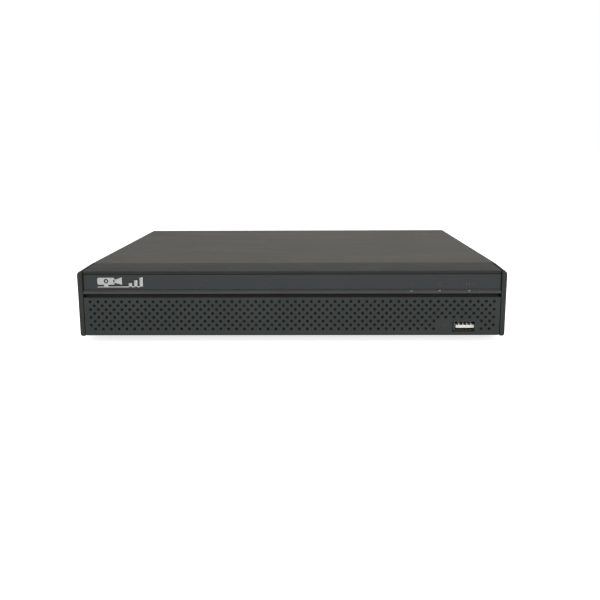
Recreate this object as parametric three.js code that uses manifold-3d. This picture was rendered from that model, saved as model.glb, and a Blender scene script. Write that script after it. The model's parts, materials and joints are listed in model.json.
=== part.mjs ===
// A compact digital video recorder for security cameras.
//
// A painted steel chassis and cover behind a moulded bezel. The bezel has an overhanging visor, a gloss
// fascia with three indicator lights, and a perforated grille with a USB socket. Camera and network
// sockets stand on the main board and pass through the rear panel. Inside are a 3.5 inch hard drive
// with its platters and head arm, a case fan, and the cables between them.
//
// Millimetres, +Z up. The front faces -Y, and the origin is under the centre of the whole recorder.

import * as THREE from 'three';
import { mergeVertices } from 'three/addons/utils/BufferGeometryUtils.js';
import Module from 'manifold-3d';

const wasm = await Module();
wasm.setup();

// ---------------------------------------------------------------- driving dimensions

// Case
const WIDTH = 260; // across the cheeks, at their rear edge
const DEPTH = 224; // from the front face to the outside of the rear panel
const HEIGHT = 40; // from the underside to the top of the bezel
const CHASSIS_SHEET = 1;
const COVER_SHEET = 0.8;
const COVER_INSET = 0.5; // the cheeks stand proud of the cover's sides by this much
const COVER_DROP = 0.3; // the bezel's top stands above the cover's by this much
const COVER_BEND = 1.2; // outer radius of the cover's long bends
const FLANGE_HEIGHT = 12; // the chassis's side flanges
const COVER_LIP = 7; // height of the cover's rear flange
const GAP = 0.3; // between pieces that touch or slide on each other

// Bezel
const BEZEL_DEPTH = 32;
const BEZEL_WALL = 2.2;
const BEZEL_TAPER = 1.5; // each side comes in by this much at the front
const CHEEK_WIDTH = 2.8;
const CHEEK_TOP_RADIUS = 2.6;
const CHEEK_BOTTOM_RADIUS = 1.3;
const CHEEK_FRONT_RADIUS = 0.8;
const VISOR_EDGE = 0.4;
const VISOR_DROP = 2.3; // from the top to the foot of the visor's sloping underside
const FASCIA_SETBACK = 1.8; // the fascia's flat face behind the front
const FASCIA_FLAT = 9.4; // height of that flat face
const LEDGE_SLOPE = 0.9;
const LEDGE_FACE = 1.4;
const LEDGE_SETBACK = 0.3;
const GROOVE_HEIGHT = 2.3; // between the ledge and the grille
const WEB_SETBACK = 4; // the bezel's web behind the fascia and the grille
const GRILLE_THICKNESS = 2.4;
const GRILLE_TOP_BEVEL = 0.4;
const GRILLE_BOTTOM_BEVEL = 1.5;
const GRILLE_MARGIN = 6; // solid border around the window behind the grille

// Lights, emblem and board of the front
const LIGHT_FROM_SIDE = { status_light: 58, drive_light: 41.2, network_light: 23.4 };
const LIGHT_WIDTH = 2.8;
const LIGHT_HEIGHT = 0.8;
const LIGHT_FIT = 0.15; // clearance around a light guide
const FRONT_BOARD_SETBACK = 16;
const FRONT_BOARD_MARGIN = 9; // beyond the outermost lights
const FRONT_BOARD_POST = 2.5;
const EMBLEM = { fromSide: 27, width: 27.5, height: 6, thickness: 0.4, rise: 1.6, bar: 0.6 };
const EMBLEM_CAMERA = { width: 10.5, bottom: 1.6, corner: 1, lens: 1.3, hood: 4.4, neck: 1.6, leg: 2.6 };
const EMBLEM_STRIPS = { count: 3, width: 2, pitch: 3.3, step: 1.7 };

// USB socket, front and rear
const USB_WIDTH = 13;
const USB_HEIGHT = 5.7;
const USB_SHELL = 0.4;
const USB_TONGUE_WIDTH = 11.1;
const USB_TONGUE_THICKNESS = 1.84;
const USB_TONGUE_RISE = 1.35; // from the shell's floor to the tongue
const USB_LENGTH = 14;
const USB_RECESS = 1.2; // the tongue's end behind the shell's mouth
const USB_FROM_SIDE = 25.1;
const USB_AXIS_HEIGHT = 5.6;

// Boards
const BOARD_THICKNESS = 1.6;
const BOARD_POST_HEIGHT = 5;
const BOARD_POST_RADIUS = 3;
const BOARD_DEPTH = 80;
const BOARD_SIDE_MARGIN = 4;
const BOARD_POST_INSET = 5;

// Feet
const FOOT_HEIGHT = 5;
const FOOT_RADIUS = 8;
const FOOT_SETBACK = 46; // axis of a front foot behind the front face
const FOOT_INSET = 22; // axis in from the chassis's side, and from the rear panel

// Screws
const COVER_SCREW = { radius: 1.5, head: 3, headHeight: 2, length: 6 };
const GROUND_SCREW = { radius: 2, head: 4, headHeight: 2.6, length: 8 };
const DRIVE_SCREW = { radius: 1.6, head: 3.2, headHeight: 1.8, length: 7 };

// Rear sockets
const ROW_MARGIN = 4.5; // from the chassis's side to the first and last socket
const GROUND_SCREW_RISE = 12; // above the main board
const BNC = { body: 14.5, length: 18, neck: 6, barrel: 4.8, bore: 4.05, core: 2.3, reach: 12 };
const BNC_NUT = { radius: 7, thickness: 2 };
const BNC_STUD = { radius: 1, setback: 3.5, height: 1.1 };
const RCA = { width: 10.5, height: 12.2, length: 14, barrel: 4.15, bore: 1.6, reach: 9 };
const MONITOR = { width: 30.8, height: 12.5, length: 12, reach: 6, shell: 0.5 };
const MONITOR_FACE = { width: 16.6, height: 8.4, slope: 1.2, radius: 1.6 };
const MONITOR_NUT = { radius: 2.8, spacing: 25, reach: 4.5 };
const VIDEO = { width: 15, height: 5.6, length: 11, shell: 0.4, chamfer: 1.4 };
const VIDEO_TONGUE = { width: 11.4, thickness: 1.3 };
const NETWORK = { width: 16, height: 13.5, length: 20, port: 11.8, portHeight: 8, portDepth: 13 };
const NETWORK_KEY = { width: 6.2, height: 1.8 };
const TERMINAL = { ways: 4, pitch: 3.81, wall: 1, height: 9, length: 10, cavity: 8, reach: 11 };
const TERMINAL_WIRE_HOLE = { radius: 1.2, depth: 5 };
const POWER = { width: 9, height: 11, length: 14, bore: 3.1, pin: 1.05, depth: 9 };
const SOCKET_REACH = 1; // plain sockets stand out of the rear panel by this much

// Main board's components
const PROCESSOR = { size: 19, thickness: 1.6 };
const HEAT_SINK = { size: 38, base: 3, height: 13, fins: 9, fin: 1.3 };
const MEMORY_CHIP = { length: 14, width: 9, thickness: 1.2 };
const CELL = { radius: 10, thickness: 3.2 };
const CELL_HOLDER = { wall: 1.2, floor: 1, gap: 6 };
const BUZZER = { radius: 6, height: 8, hole: 1.2 };
const COMPONENT_SPACING = 12; // between neighbours on the main board

// Fan
const FAN_SIZE = 30;
const FAN_THICKNESS = 10;
const FAN_MOUTH = 14.1;
const FAN_HUB = 6.4;
const FAN_TIP_CLEARANCE = 0.8;
const FAN_BLADES = 7;
const FAN_BLADE_THICKNESS = 0.9;
const FAN_BLADE_TILT = 38; // degrees
const FAN_RISE = 2; // above the chassis's floor
const FAN_TAB_MARGIN = 2;
const FAN_STRUT = 1.6;

// Hard drive
const DRIVE = { length: 147, width: 101.6, height: 26.1 };
const DRIVE_LIFT = 2; // the pressed bosses under it
const DRIVE_BOSS_RADIUS = 5;
const DRIVE_MARGIN = 3; // to the chassis's walls
const DRIVE_WALL = 2;
const DRIVE_FLOOR = 5;
const DRIVE_LID = 1.5;
const DRIVE_RAIL = 6.4; // solid rails either side of the drive's board
const DRIVE_BOARD = { thickness: 1.2, recess: 2.4, length: 96 };
const DRIVE_HOLE_SPACING = 76; // along the drive, between its screws
const DRIVE_CORNER = 3;
const BOWL_CLEARANCE = 1.3; // around the platters
const ARM_BAY = { start: 10, beyond: 18, side: 5, upper: 36 }; // from the spindle, past the pivot, walls
const PLATTER = { radius: 47.5, thickness: 1.3, hub: 14, hubHeight: 12, first: 3, count: 2, spacing: 6 };
const ARM_PIVOT = { along: 52, across: -28, radius: 7, height: 14 };
const ARM_LENGTH = 50;
const ARM_PARKED = 98.5; // degrees, counted from the drive's connector end
const ARM_BLADE = { thickness: 1, root: 7, tip: 2.5, lift: 0.7 };
const ARM_COIL = { length: 13, width: 13, depth: 3 };

// Cables
const DATA_CABLE = { width: 5, thickness: 1.8, plug: 12, plugHeight: 6 };
const POWER_CABLE = { radius: 2.2, plug: 20, plugHeight: 6 };
const RIBBON = { width: 13, thickness: 1, plug: 16, plugHeight: 6 };
const RIBBON_WINDOW = { below: 6, above: 8 }; // its slot in the front wall, from the ribbon's middle
const PLUG_LENGTH = 9;
const PLUG_SPACING = 4; // between plugs, and from the main board's front edge to their axes
const CABLE_SPACING = 6; // from the fan to the ribbon cable's plug
const LEAD_BEND = { data: 9, power: 18 }; // how far each drive lead swings out past its plug

// Vents
const SIDE_VENT = { columns: 14, rows: 2, pitch: 6, width: 2.6, height: 9, spacing: 12, rise: 3 };
const FLOOR_VENT = { columns: 12, pitch: 8, width: 3, length: 30 };
const WALL_VENT = { columns: 16, pitch: 8, width: 4, height: 14 };

// ---------------------------------------------------------------- places that follow from them

const CONNECTOR_REACH = Math.max(BNC.reach, TERMINAL.reach, RCA.reach);
const FRONT_Y = -(DEPTH + CONNECTOR_REACH) / 2;

const COVER_HALF = WIDTH / 2 - COVER_INSET;
const COVER_TOP = HEIGHT - COVER_DROP;
const CHASSIS_HALF = COVER_HALF - COVER_SHEET - GAP;
const CHASSIS_TOP = COVER_TOP - COVER_SHEET - GAP;
const CHASSIS_START = BEZEL_DEPTH + GAP;
const REAR_INSIDE = DEPTH - CHASSIS_SHEET;
const INNER_HALF = CHASSIS_HALF - CHASSIS_SHEET;

const FRAME_HALF = WIDTH / 2 - CHEEK_WIDTH - GAP; // half of the bezel between its cheeks
const FASCIA_TOP = HEIGHT - VISOR_DROP;
const FASCIA_FOOT = FASCIA_TOP - FASCIA_FLAT;
const LEDGE_TOP = FASCIA_FOOT - LEDGE_SLOPE;
const LEDGE_BOTTOM = LEDGE_TOP - LEDGE_FACE;
const GRILLE_TOP = LEDGE_BOTTOM - GROOVE_HEIGHT;
const WEB_BACK = WEB_SETBACK + BEZEL_WALL;

const BOARD_BOTTOM = CHASSIS_SHEET + BOARD_POST_HEIGHT + GAP;
const BOARD_TOP = BOARD_BOTTOM + BOARD_THICKNESS;
const BOARD_HALF = INNER_HALF - BOARD_SIDE_MARGIN;
const BOARD_REAR = REAR_INSIDE - GAP;
const BOARD_FRONT = BOARD_REAR - BOARD_DEPTH;

const DRIVE_X = -INNER_HALF + DRIVE_MARGIN + DRIVE.length / 2;
const DRIVE_Y = CHASSIS_START + CHASSIS_SHEET + DRIVE_MARGIN + DRIVE.width / 2;
const DRIVE_Z = CHASSIS_SHEET + DRIVE_LIFT + GAP;
const DRIVE_END = DRIVE_X + DRIVE.length / 2;
const PLATTER_X = -DRIVE.length / 2 + PLATTER.radius + 2 * DRIVE_WALL;

const FAN_Y = (CHASSIS_START + BOARD_FRONT) / 2;
const FAN_Z = CHASSIS_SHEET + FAN_RISE + FAN_SIZE / 2;
const FAN_X = INNER_HALF - GAP;

const USB_X = WIDTH / 2 - USB_FROM_SIDE;
const RIBBON_X = FAN_X - FAN_THICKNESS - CABLE_SPACING - RIBBON.plug / 2;
const DATA_PLUG_X = DRIVE_END + DATA_CABLE.plug / 2;
const POWER_PLUG_X = DRIVE_END + DATA_CABLE.plug + PLUG_SPACING + POWER_CABLE.plug / 2;

// ---------------------------------------------------------------- finishes

const BLACK_PLASTIC = { color: 0x3c3f3d, roughness: 0.55, metalness: 0 };
const GLOSS_BLACK = { color: 0x2c3133, roughness: 0.12, metalness: 0 };
const SILVER = { color: 0xc4c7c8, roughness: 0.3, metalness: 0.9 };
const LIGHT_GUIDE = { color: 0xd9dede, roughness: 0.25, metalness: 0 };
const PAINTED_STEEL = { color: 0x5c5b56, roughness: 0.6, metalness: 0.2 };
const ZINC_STEEL = { color: 0xa9abaa, roughness: 0.42, metalness: 0.9 };
const BRIGHT_NICKEL = { color: 0xc9c8c2, roughness: 0.22, metalness: 1 };
const RUBBER = { color: 0x202020, roughness: 0.9, metalness: 0 };
const GREEN_BOARD = { color: 0x1c5a3a, roughness: 0.45, metalness: 0 };
const BLUE_BOARD = { color: 0x1d3f6e, roughness: 0.45, metalness: 0 };
const CHIP_BLACK = { color: 0x26272a, roughness: 0.6, metalness: 0 };
const ALUMINIUM = { color: 0xb4b7b9, roughness: 0.35, metalness: 0.9 };
const MIRROR_DISC = { color: 0xdcdfe1, roughness: 0.06, metalness: 1 };
const SOCKET_BLACK = { color: 0x1d1e20, roughness: 0.5, metalness: 0 };
const SOCKET_WHITE = { color: 0xe2e1da, roughness: 0.45, metalness: 0 };
const SOCKET_BLUE = { color: 0x24509c, roughness: 0.45, metalness: 0 };
const SOCKET_GREEN = { color: 0x2f8c4a, roughness: 0.45, metalness: 0 };
const SOCKET_RED = { color: 0xb4282a, roughness: 0.45, metalness: 0 };
const CABLE_RED = { color: 0xb02a26, roughness: 0.5, metalness: 0 };
const CABLE_GREY = { color: 0x9a9c9e, roughness: 0.6, metalness: 0 };

// ---------------------------------------------------------------- solids

/** A closed three.js geometry as a solid that can be joined and cut. */
function solid(geometry) {
  geometry.deleteAttribute('normal');
  geometry.deleteAttribute('uv');
  const welded = mergeVertices(geometry, 1e-4);
  const corners = welded.index.array;
  const triangles = [];
  for (let i = 0; i < corners.length; i += 3) {
    const [a, b, c] = corners.slice(i, i + 3);
    if (a !== b && b !== c && c !== a) triangles.push(a, b, c);
  }
  return new wasm.Manifold(new wasm.Mesh({
    numProp: 3,
    vertProperties: Float32Array.from(welded.attributes.position.array),
    triVerts: Uint32Array.from(triangles),
  }));
}

/** A solid as three.js geometry with flat faces. */
function geometryOf(shape) {
  const mesh = shape.getMesh();
  const indexed = new THREE.BufferGeometry();
  indexed.setAttribute('position', new THREE.BufferAttribute(mesh.vertProperties, 3));
  indexed.setIndex(new THREE.BufferAttribute(mesh.triVerts, 1));
  const geometry = indexed.toNonIndexed();
  geometry.computeVertexNormals();
  return geometry;
}

/** A named piece with a material of its own, standing at a place in its group. */
function piece(name, shape, finish, place = [0, 0, 0]) {
  const mesh = new THREE.Mesh(geometryOf(shape), new THREE.MeshStandardMaterial(finish));
  mesh.name = name;
  mesh.position.set(...place);
  return mesh;
}

/** A block between two corners. */
function block(x0, x1, y0, y1, z0, z1) {
  const geometry = new THREE.BoxGeometry(x1 - x0, y1 - y0, z1 - z0);
  geometry.translate((x0 + x1) / 2, (y0 + y1) / 2, (z0 + z1) / 2);
  return solid(geometry);
}

/** A closed outline from a list of points. */
function outline(points) {
  return new THREE.Shape(points.map(([x, y]) => new THREE.Vector2(x, y)));
}

/** A rectangle with its own radius at each corner: lower left, lower right, upper right, upper left. */
function roundedRectangle(x0, x1, y0, y1, radii) {
  const corners = [[x0, y0, Math.PI], [x1, y0, 1.5 * Math.PI], [x1, y1, 0], [x0, y1, 0.5 * Math.PI]];
  const shape = new THREE.Shape();
  corners.forEach(([x, y, start], i) => {
    const r = radii[i];
    const cx = x + (x === x0 ? r : -r);
    const cy = y + (y === y0 ? r : -r);
    if (r > 0) shape.absarc(cx, cy, r, start, start + Math.PI / 2, false);
    else if (i === 0) shape.moveTo(x, y);
    else shape.lineTo(x, y);
  });
  return shape;
}

function extruded(shape, length, curveSegments) {
  return new THREE.ExtrudeGeometry(shape, { depth: length, bevelEnabled: false, curveSegments });
}

/** An outline in X and Y, pulled up from z0 to z1. */
function pulledAlongZ(shape, z0, z1, curveSegments = 4) {
  return solid(extruded(shape, z1 - z0, curveSegments).translate(0, 0, z0));
}

/** An outline in Y and Z, pulled from x0 to x1. */
function pulledAlongX(shape, x0, x1, curveSegments = 4) {
  const turn = new THREE.Matrix4().makeBasis(
    new THREE.Vector3(0, 1, 0), new THREE.Vector3(0, 0, 1), new THREE.Vector3(1, 0, 0));
  return solid(extruded(shape, x1 - x0, curveSegments).applyMatrix4(turn).translate(x0, 0, 0));
}

/** An outline in X and Z, pulled from y0 to y1. */
function pulledAlongY(shape, y0, y1, curveSegments = 4) {
  const turn = new THREE.Matrix4().makeBasis(
    new THREE.Vector3(1, 0, 0), new THREE.Vector3(0, 0, 1), new THREE.Vector3(0, -1, 0));
  return solid(extruded(shape, y1 - y0, curveSegments).applyMatrix4(turn).translate(0, y1, 0));
}

/** Turns geometry that stands along Y so that it lies along the given axis. */
function turnTo(axis, geometry) {
  if (axis === 'x') return geometry.rotateZ(-Math.PI / 2);
  if (axis === 'z') return geometry.rotateX(Math.PI / 2);
  return geometry;
}

/** A rod between two places on an axis through the group's origin. */
function rod(axis, radius, from, to, sides = 16) {
  const geometry = new THREE.CylinderGeometry(radius, radius, to - from, sides);
  return solid(turnTo(axis, geometry.translate(0, (from + to) / 2, 0)));
}

/** A turned piece: pairs of radius and place, from one end of the axis to the other. */
function turned(axis, profile, sides = 20) {
  const points = profile.map(([r, along]) => new THREE.Vector2(r, along));
  return solid(turnTo(axis, new THREE.LatheGeometry(points, sides)));
}

/** A section swept along a smooth curve through points. */
function swept(section, points, steps) {
  const route = new THREE.CatmullRomCurve3(points.map((p) => new THREE.Vector3(...p)));
  return solid(new THREE.ExtrudeGeometry(section, { steps, bevelEnabled: false, extrudePath: route }));
}

function joined(shapes) {
  return shapes.reduce((all, shape) => all.add(shape));
}

function cut(shape, cutters) {
  return cutters.reduce((left, cutter) => left.subtract(cutter), shape);
}

/** Moves every point of a solid. */
function reshaped(shape, move) {
  const geometry = geometryOf(shape);
  const place = geometry.attributes.position;
  for (let i = 0; i < place.count; i += 1) {
    place.setXYZ(i, ...move(place.getX(i), place.getY(i), place.getZ(i)));
  }
  return solid(geometry);
}

/** A group of pieces at a place. */
function group(place, pieces) {
  const holder = new THREE.Group();
  holder.position.set(...place);
  holder.add(...pieces);
  return holder;
}

// ---------------------------------------------------------------- front
// Y is the distance behind the front face, Z the height above the case's underside.

/** Brings both sides in towards the front, as the whole bezel does. */
function taperedToFront(shape) {
  return reshaped(shape, (x, y, z) => {
    const inset = BEZEL_TAPER * (1 - y / BEZEL_DEPTH);
    return [x * (1 - inset / (WIDTH / 2)), y, z];
  });
}

/** The hole for the USB socket's shell. */
function usbCutter() {
  const half = USB_WIDTH / 2 + GAP;
  const reach = USB_HEIGHT / 2 + GAP;
  return block(USB_X - half, USB_X + half, -1, FRONT_BOARD_SETBACK,
    USB_AXIS_HEIGHT - reach, USB_AXIS_HEIGHT + reach);
}

/** A bar for each light, from the ledge's upper edge to the front board, grown by a clearance. */
function lightBar(fromSide, clearance) {
  const x = WIDTH / 2 - fromSide;
  const half = LIGHT_WIDTH / 2 + clearance;
  const rise = LIGHT_HEIGHT / 2 + clearance;
  const start = LEDGE_SETBACK + GAP;
  return block(x - half, x + half, clearance ? -1 : start, FRONT_BOARD_SETBACK - GAP,
    LEDGE_TOP - rise, LEDGE_TOP + rise);
}

function lightCutters() {
  return Object.values(LIGHT_FROM_SIDE).map((fromSide) => lightBar(fromSide, LIGHT_FIT));
}

function bezelProfile() {
  const floorFront = GRILLE_THICKNESS + GAP;
  const shape = new THREE.Shape();
  shape.moveTo(BEZEL_DEPTH, HEIGHT);
  shape.lineTo(VISOR_EDGE, HEIGHT);
  shape.absarc(VISOR_EDGE, HEIGHT - VISOR_EDGE, VISOR_EDGE, Math.PI / 2, Math.PI, false);
  const corners = [
    [FASCIA_SETBACK, FASCIA_TOP],
    [WEB_SETBACK, FASCIA_TOP],
    [WEB_SETBACK, BEZEL_WALL],
    [floorFront, BEZEL_WALL],
    [floorFront, 0],
    [BEZEL_DEPTH, 0],
    [BEZEL_DEPTH, BEZEL_WALL],
    [WEB_BACK, BEZEL_WALL],
    [WEB_BACK, HEIGHT - BEZEL_WALL],
    [BEZEL_DEPTH, HEIGHT - BEZEL_WALL],
  ];
  corners.forEach(([depth, height]) => shape.lineTo(depth, height));
  return shape;
}

function frontBoardPosts() {
  const { left, right, top } = frontBoardEdges();
  const inset = FRONT_BOARD_POST + 1;
  return [left + inset, right - inset].map((x) => rod('y', FRONT_BOARD_POST, WEB_SETBACK + 1,
    FRONT_BOARD_SETBACK - GAP, 12).translate([x, 0, top - inset]));
}

function frontBezel() {
  const body = taperedToFront(pulledAlongX(bezelProfile(), -FRAME_HALF, FRAME_HALF));
  const window = block(-FRAME_HALF + GRILLE_MARGIN, FRAME_HALF - GRILLE_MARGIN,
    WEB_SETBACK - 1, WEB_BACK + 1, BEZEL_WALL + 1, GRILLE_TOP - 1);
  const shape = cut(joined([body, ...frontBoardPosts()]), [window, usbCutter(), ...lightCutters()]);
  return piece('front_bezel', shape, BLACK_PLASTIC);
}

function glossFascia() {
  const back = WEB_SETBACK - GAP;
  const profile = outline([
    [FASCIA_SETBACK, FASCIA_TOP - GAP],
    [FASCIA_SETBACK, FASCIA_FOOT],
    [LEDGE_SETBACK, LEDGE_TOP],
    [LEDGE_SETBACK, LEDGE_BOTTOM],
    [back, LEDGE_BOTTOM],
    [back, FASCIA_TOP - GAP],
  ]);
  const body = taperedToFront(pulledAlongX(profile, -FRAME_HALF, FRAME_HALF));
  return piece('gloss_fascia', cut(body, lightCutters()), GLOSS_BLACK);
}

function grillePanel() {
  const profile = outline([
    [0, GRILLE_TOP - GRILLE_TOP_BEVEL],
    [0, GRILLE_BOTTOM_BEVEL],
    [GRILLE_BOTTOM_BEVEL, 0],
    [GRILLE_THICKNESS, 0],
    [GRILLE_THICKNESS, GRILLE_TOP],
    [GRILLE_TOP_BEVEL, GRILLE_TOP],
  ]);
  const body = taperedToFront(pulledAlongX(profile, -FRAME_HALF, FRAME_HALF));
  return piece('grille_panel', cut(body, [usbCutter()]), BLACK_PLASTIC);
}

/** An end cap of the bezel; side is -1 for the left one and 1 for the right one. */
function cheek(name, side) {
  const radii = [0, CHEEK_BOTTOM_RADIUS, CHEEK_TOP_RADIUS, 0];
  const endOn = roundedRectangle(WIDTH / 2 - CHEEK_WIDTH, WIDTH / 2, 0, HEIGHT, radii);
  const plan = roundedRectangle(WIDTH / 2 - CHEEK_WIDTH, WIDTH / 2, 0, BEZEL_DEPTH,
    [0, CHEEK_FRONT_RADIUS, 0, 0]);
  const cap = pulledAlongY(endOn, 0, BEZEL_DEPTH, 6).intersect(pulledAlongZ(plan, 0, HEIGHT, 3));
  const right = taperedToFront(cap);
  return piece(name, side > 0 ? right : right.mirror([1, 0, 0]), BLACK_PLASTIC);
}

/** The camera of the pictogram: a body with a lens, a hood and a leg. */
function emblemCamera() {
  const { bottom, corner, lens, hood, neck, leg } = EMBLEM_CAMERA;
  const { height, thickness } = EMBLEM;
  const left = -EMBLEM.width / 2;
  const right = left + EMBLEM_CAMERA.width;
  const middle = (bottom + height) / 2;
  const centre = (left + right) / 2;
  const bodyOutline = roundedRectangle(left, right, bottom, height, Array(4).fill(corner));
  const body = pulledAlongY(bodyOutline, 0, thickness, 3);
  const lensHole = rod('y', lens, -1, thickness + 1, 12).translate([centre, 0, middle]);
  const hoodPlate = pulledAlongY(outline([[right - corner, middle - neck / 2], [right + hood, bottom],
    [right + hood, height], [right - corner, middle + neck / 2]]), 0, thickness);
  const legPlate = block(centre - leg / 2, centre + leg / 2, 0, thickness, 0, bottom + corner / 2);
  return joined([body.subtract(lensHole), hoodPlate, legPlate]);
}

/** A plain pictogram: a camera on a bar, with rising strips beside it. */
function emblem() {
  const right = EMBLEM.width / 2;
  const strips = Array.from({ length: EMBLEM_STRIPS.count }, (_, i) => {
    const edge = right - i * EMBLEM_STRIPS.pitch;
    const top = EMBLEM.height - i * EMBLEM_STRIPS.step;
    return block(edge - EMBLEM_STRIPS.width, edge, 0, EMBLEM.thickness, 0, top);
  });
  const bar = block(-right, right, 0, EMBLEM.thickness, 0, EMBLEM.bar);
  const depth = FASCIA_SETBACK - GAP - EMBLEM.thickness;
  return piece('emblem', joined([emblemCamera(), bar, ...strips]), SILVER,
    [-WIDTH / 2 + EMBLEM.fromSide, depth, FASCIA_FOOT + EMBLEM.rise]);
}

function frontBoardEdges() {
  const places = Object.values(LIGHT_FROM_SIDE).map((fromSide) => WIDTH / 2 - fromSide);
  return {
    left: Math.min(...places) - FRONT_BOARD_MARGIN,
    right: Math.max(...places) + FRONT_BOARD_MARGIN,
    bottom: BEZEL_WALL + 1,
    top: HEIGHT - BEZEL_WALL - 1,
  };
}

function frontBoard() {
  const { left, right, bottom, top } = frontBoardEdges();
  const shape = block(left, right, FRONT_BOARD_SETBACK, FRONT_BOARD_SETBACK + BOARD_THICKNESS, bottom, top);
  return piece('front_board', shape, GREEN_BOARD);
}

function lightGuides() {
  return Object.entries(LIGHT_FROM_SIDE).map(
    ([name, fromSide]) => piece(name, lightBar(fromSide, 0), LIGHT_GUIDE));
}

// ---------------------------------------------------------------- USB socket
// The mouth faces -Y at the group's origin, which is on the shell's axis.

function usbShell(name) {
  const outer = block(-USB_WIDTH / 2, USB_WIDTH / 2, 0, USB_LENGTH, -USB_HEIGHT / 2, USB_HEIGHT / 2);
  const half = USB_WIDTH / 2 - USB_SHELL;
  const rise = USB_HEIGHT / 2 - USB_SHELL;
  const inside = block(-half, half, -1, USB_LENGTH - USB_SHELL, -rise, rise);
  return piece(name, outer.subtract(inside), BRIGHT_NICKEL);
}

function usbTongue(name) {
  const floor = -USB_HEIGHT / 2 + USB_SHELL + USB_TONGUE_RISE;
  const half = USB_TONGUE_WIDTH / 2;
  const back = USB_LENGTH - USB_SHELL - GAP;
  return piece(name, block(-half, half, USB_RECESS, back, floor, floor + USB_TONGUE_THICKNESS), SOCKET_WHITE);
}

function frontUsbSocket() {
  const mouth = GAP;
  return group([USB_X, mouth, USB_AXIS_HEIGHT], [usbShell('front_usb_shell'), usbTongue('front_usb_tongue')]);
}

// ---------------------------------------------------------------- rear sockets
// Each is built at the origin of its group: X its middle, Y = 0 on the outside of the rear panel,
// Z = 0 on the main board's top. Each comes with the cutter of its hole in the rear panel.

const PANEL_INSIDE = -CHASSIS_SHEET - GAP;

/** The hole for a socket that passes straight through the rear panel. */
function straightHole(width, bottom, top) {
  const half = width / 2 + GAP;
  return block(-half, half, -2 * CHASSIS_SHEET, CHASSIS_SHEET, bottom - GAP, top + GAP);
}

function roundHole(radius, height) {
  return rod('y', radius + GAP, -2 * CHASSIS_SHEET, CHASSIS_SHEET, 20).translate([0, 0, height]);
}

function cameraJack(name) {
  const half = BNC.body / 2;
  const axis = GAP + half;
  const body = block(-half, half, PANEL_INSIDE - BNC.length, PANEL_INSIDE, -half, half);
  const nutEnd = GAP + BNC_NUT.thickness;
  const neck = rod('y', BNC.neck, PANEL_INSIDE - 1, nutEnd);
  const nut = rod('y', BNC_NUT.radius, GAP, nutEnd, 6);
  const barrel = turned('y', [
    [0, nutEnd - 1],
    [BNC.barrel, nutEnd - 1],
    [BNC.barrel, BNC.reach],
    [BNC.bore, BNC.reach],
    [BNC.bore, nutEnd + 1],
    [BNC.core, nutEnd + 1],
    [BNC.core, BNC.reach - 2],
    [0, BNC.reach - 2],
  ]);
  const studReach = BNC.barrel + BNC_STUD.height;
  const studs = [-1, 1].map((side) => rod('z', BNC_STUD.radius, side > 0 ? BNC.bore + GAP : -studReach,
    side > 0 ? studReach : -BNC.bore - GAP, 10).translate([0, BNC.reach - BNC_STUD.setback, 0]));
  const shape = joined([body, neck, nut, barrel, ...studs]).translate([0, 0, axis]);
  return { pieces: [piece(name, shape, BRIGHT_NICKEL)], holes: [roundHole(BNC.neck, axis)] };
}

function audioJack(name, level, finish) {
  const bottom = GAP + level * (RCA.height + GAP);
  const axis = bottom + RCA.height / 2;
  const half = RCA.width / 2;
  const body = block(-half, half, PANEL_INSIDE - RCA.length, PANEL_INSIDE, bottom, bottom + RCA.height);
  const barrel = turned('y', [
    [0, PANEL_INSIDE - 1],
    [RCA.barrel, PANEL_INSIDE - 1],
    [RCA.barrel, RCA.reach],
    [RCA.bore, RCA.reach],
    [RCA.bore, 1],
    [0, 1],
  ], 18);
  const shape = piece(name, body.add(barrel.translate([0, 0, axis])), finish);
  return { shape, hole: roundHole(RCA.barrel, axis) };
}

function audioJacks() {
  const jacks = [audioJack('audio_in_jack', 0, SOCKET_WHITE), audioJack('audio_out_jack', 1, SOCKET_RED)];
  return { pieces: jacks.map((jack) => jack.shape), holes: jacks.map((jack) => jack.hole) };
}

/** The D outline of the monitor socket, wider at the top, grown by an amount. */
function monitorOutline(grow) {
  const top = MONITOR_FACE.width / 2 + grow;
  const bottom = top - MONITOR_FACE.slope;
  const rise = MONITOR_FACE.height / 2 + grow;
  const r = MONITOR_FACE.radius;
  return outline([[-bottom + r, -rise], [bottom - r, -rise], [bottom, -rise + r], [top, rise - r],
    [top - r, rise], [-top + r, rise], [-top, rise - r], [-bottom, -rise + r]]);
}

function monitorSocket() {
  const axis = GAP + MONITOR.height / 2;
  const half = MONITOR.width / 2;
  const front = PANEL_INSIDE;
  const body = block(-half, half, front - MONITOR.length, front, -MONITOR.height / 2, MONITOR.height / 2);
  const collar = pulledAlongY(monitorOutline(0), front - 1, MONITOR.reach);
  const hollow = pulledAlongY(monitorOutline(-MONITOR.shell), front + CHASSIS_SHEET, MONITOR.reach + 1);
  const nuts = [-1, 1].map((side) => rod('y', MONITOR_NUT.radius, front - 1, MONITOR_NUT.reach, 6)
    .translate([side * MONITOR_NUT.spacing / 2, 0, 0]));
  const shell = joined([body, collar, ...nuts]).subtract(hollow).translate([0, 0, axis]);
  const face = pulledAlongY(monitorOutline(-MONITOR.shell - GAP), front + CHASSIS_SHEET + GAP,
    MONITOR.reach - USB_RECESS);
  const nutHoles = [-1, 1].map((side) => roundHole(MONITOR_NUT.radius, axis)
    .translate([side * MONITOR_NUT.spacing / 2, 0, 0]));
  const opening = pulledAlongY(monitorOutline(GAP), -2 * CHASSIS_SHEET, CHASSIS_SHEET)
    .translate([0, 0, axis]);
  return {
    pieces: [
      piece('monitor_socket_shell', shell, BRIGHT_NICKEL),
      piece('monitor_socket_face', face.translate([0, 0, axis]), SOCKET_BLUE),
    ],
    holes: [opening, ...nutHoles],
  };
}

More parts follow.
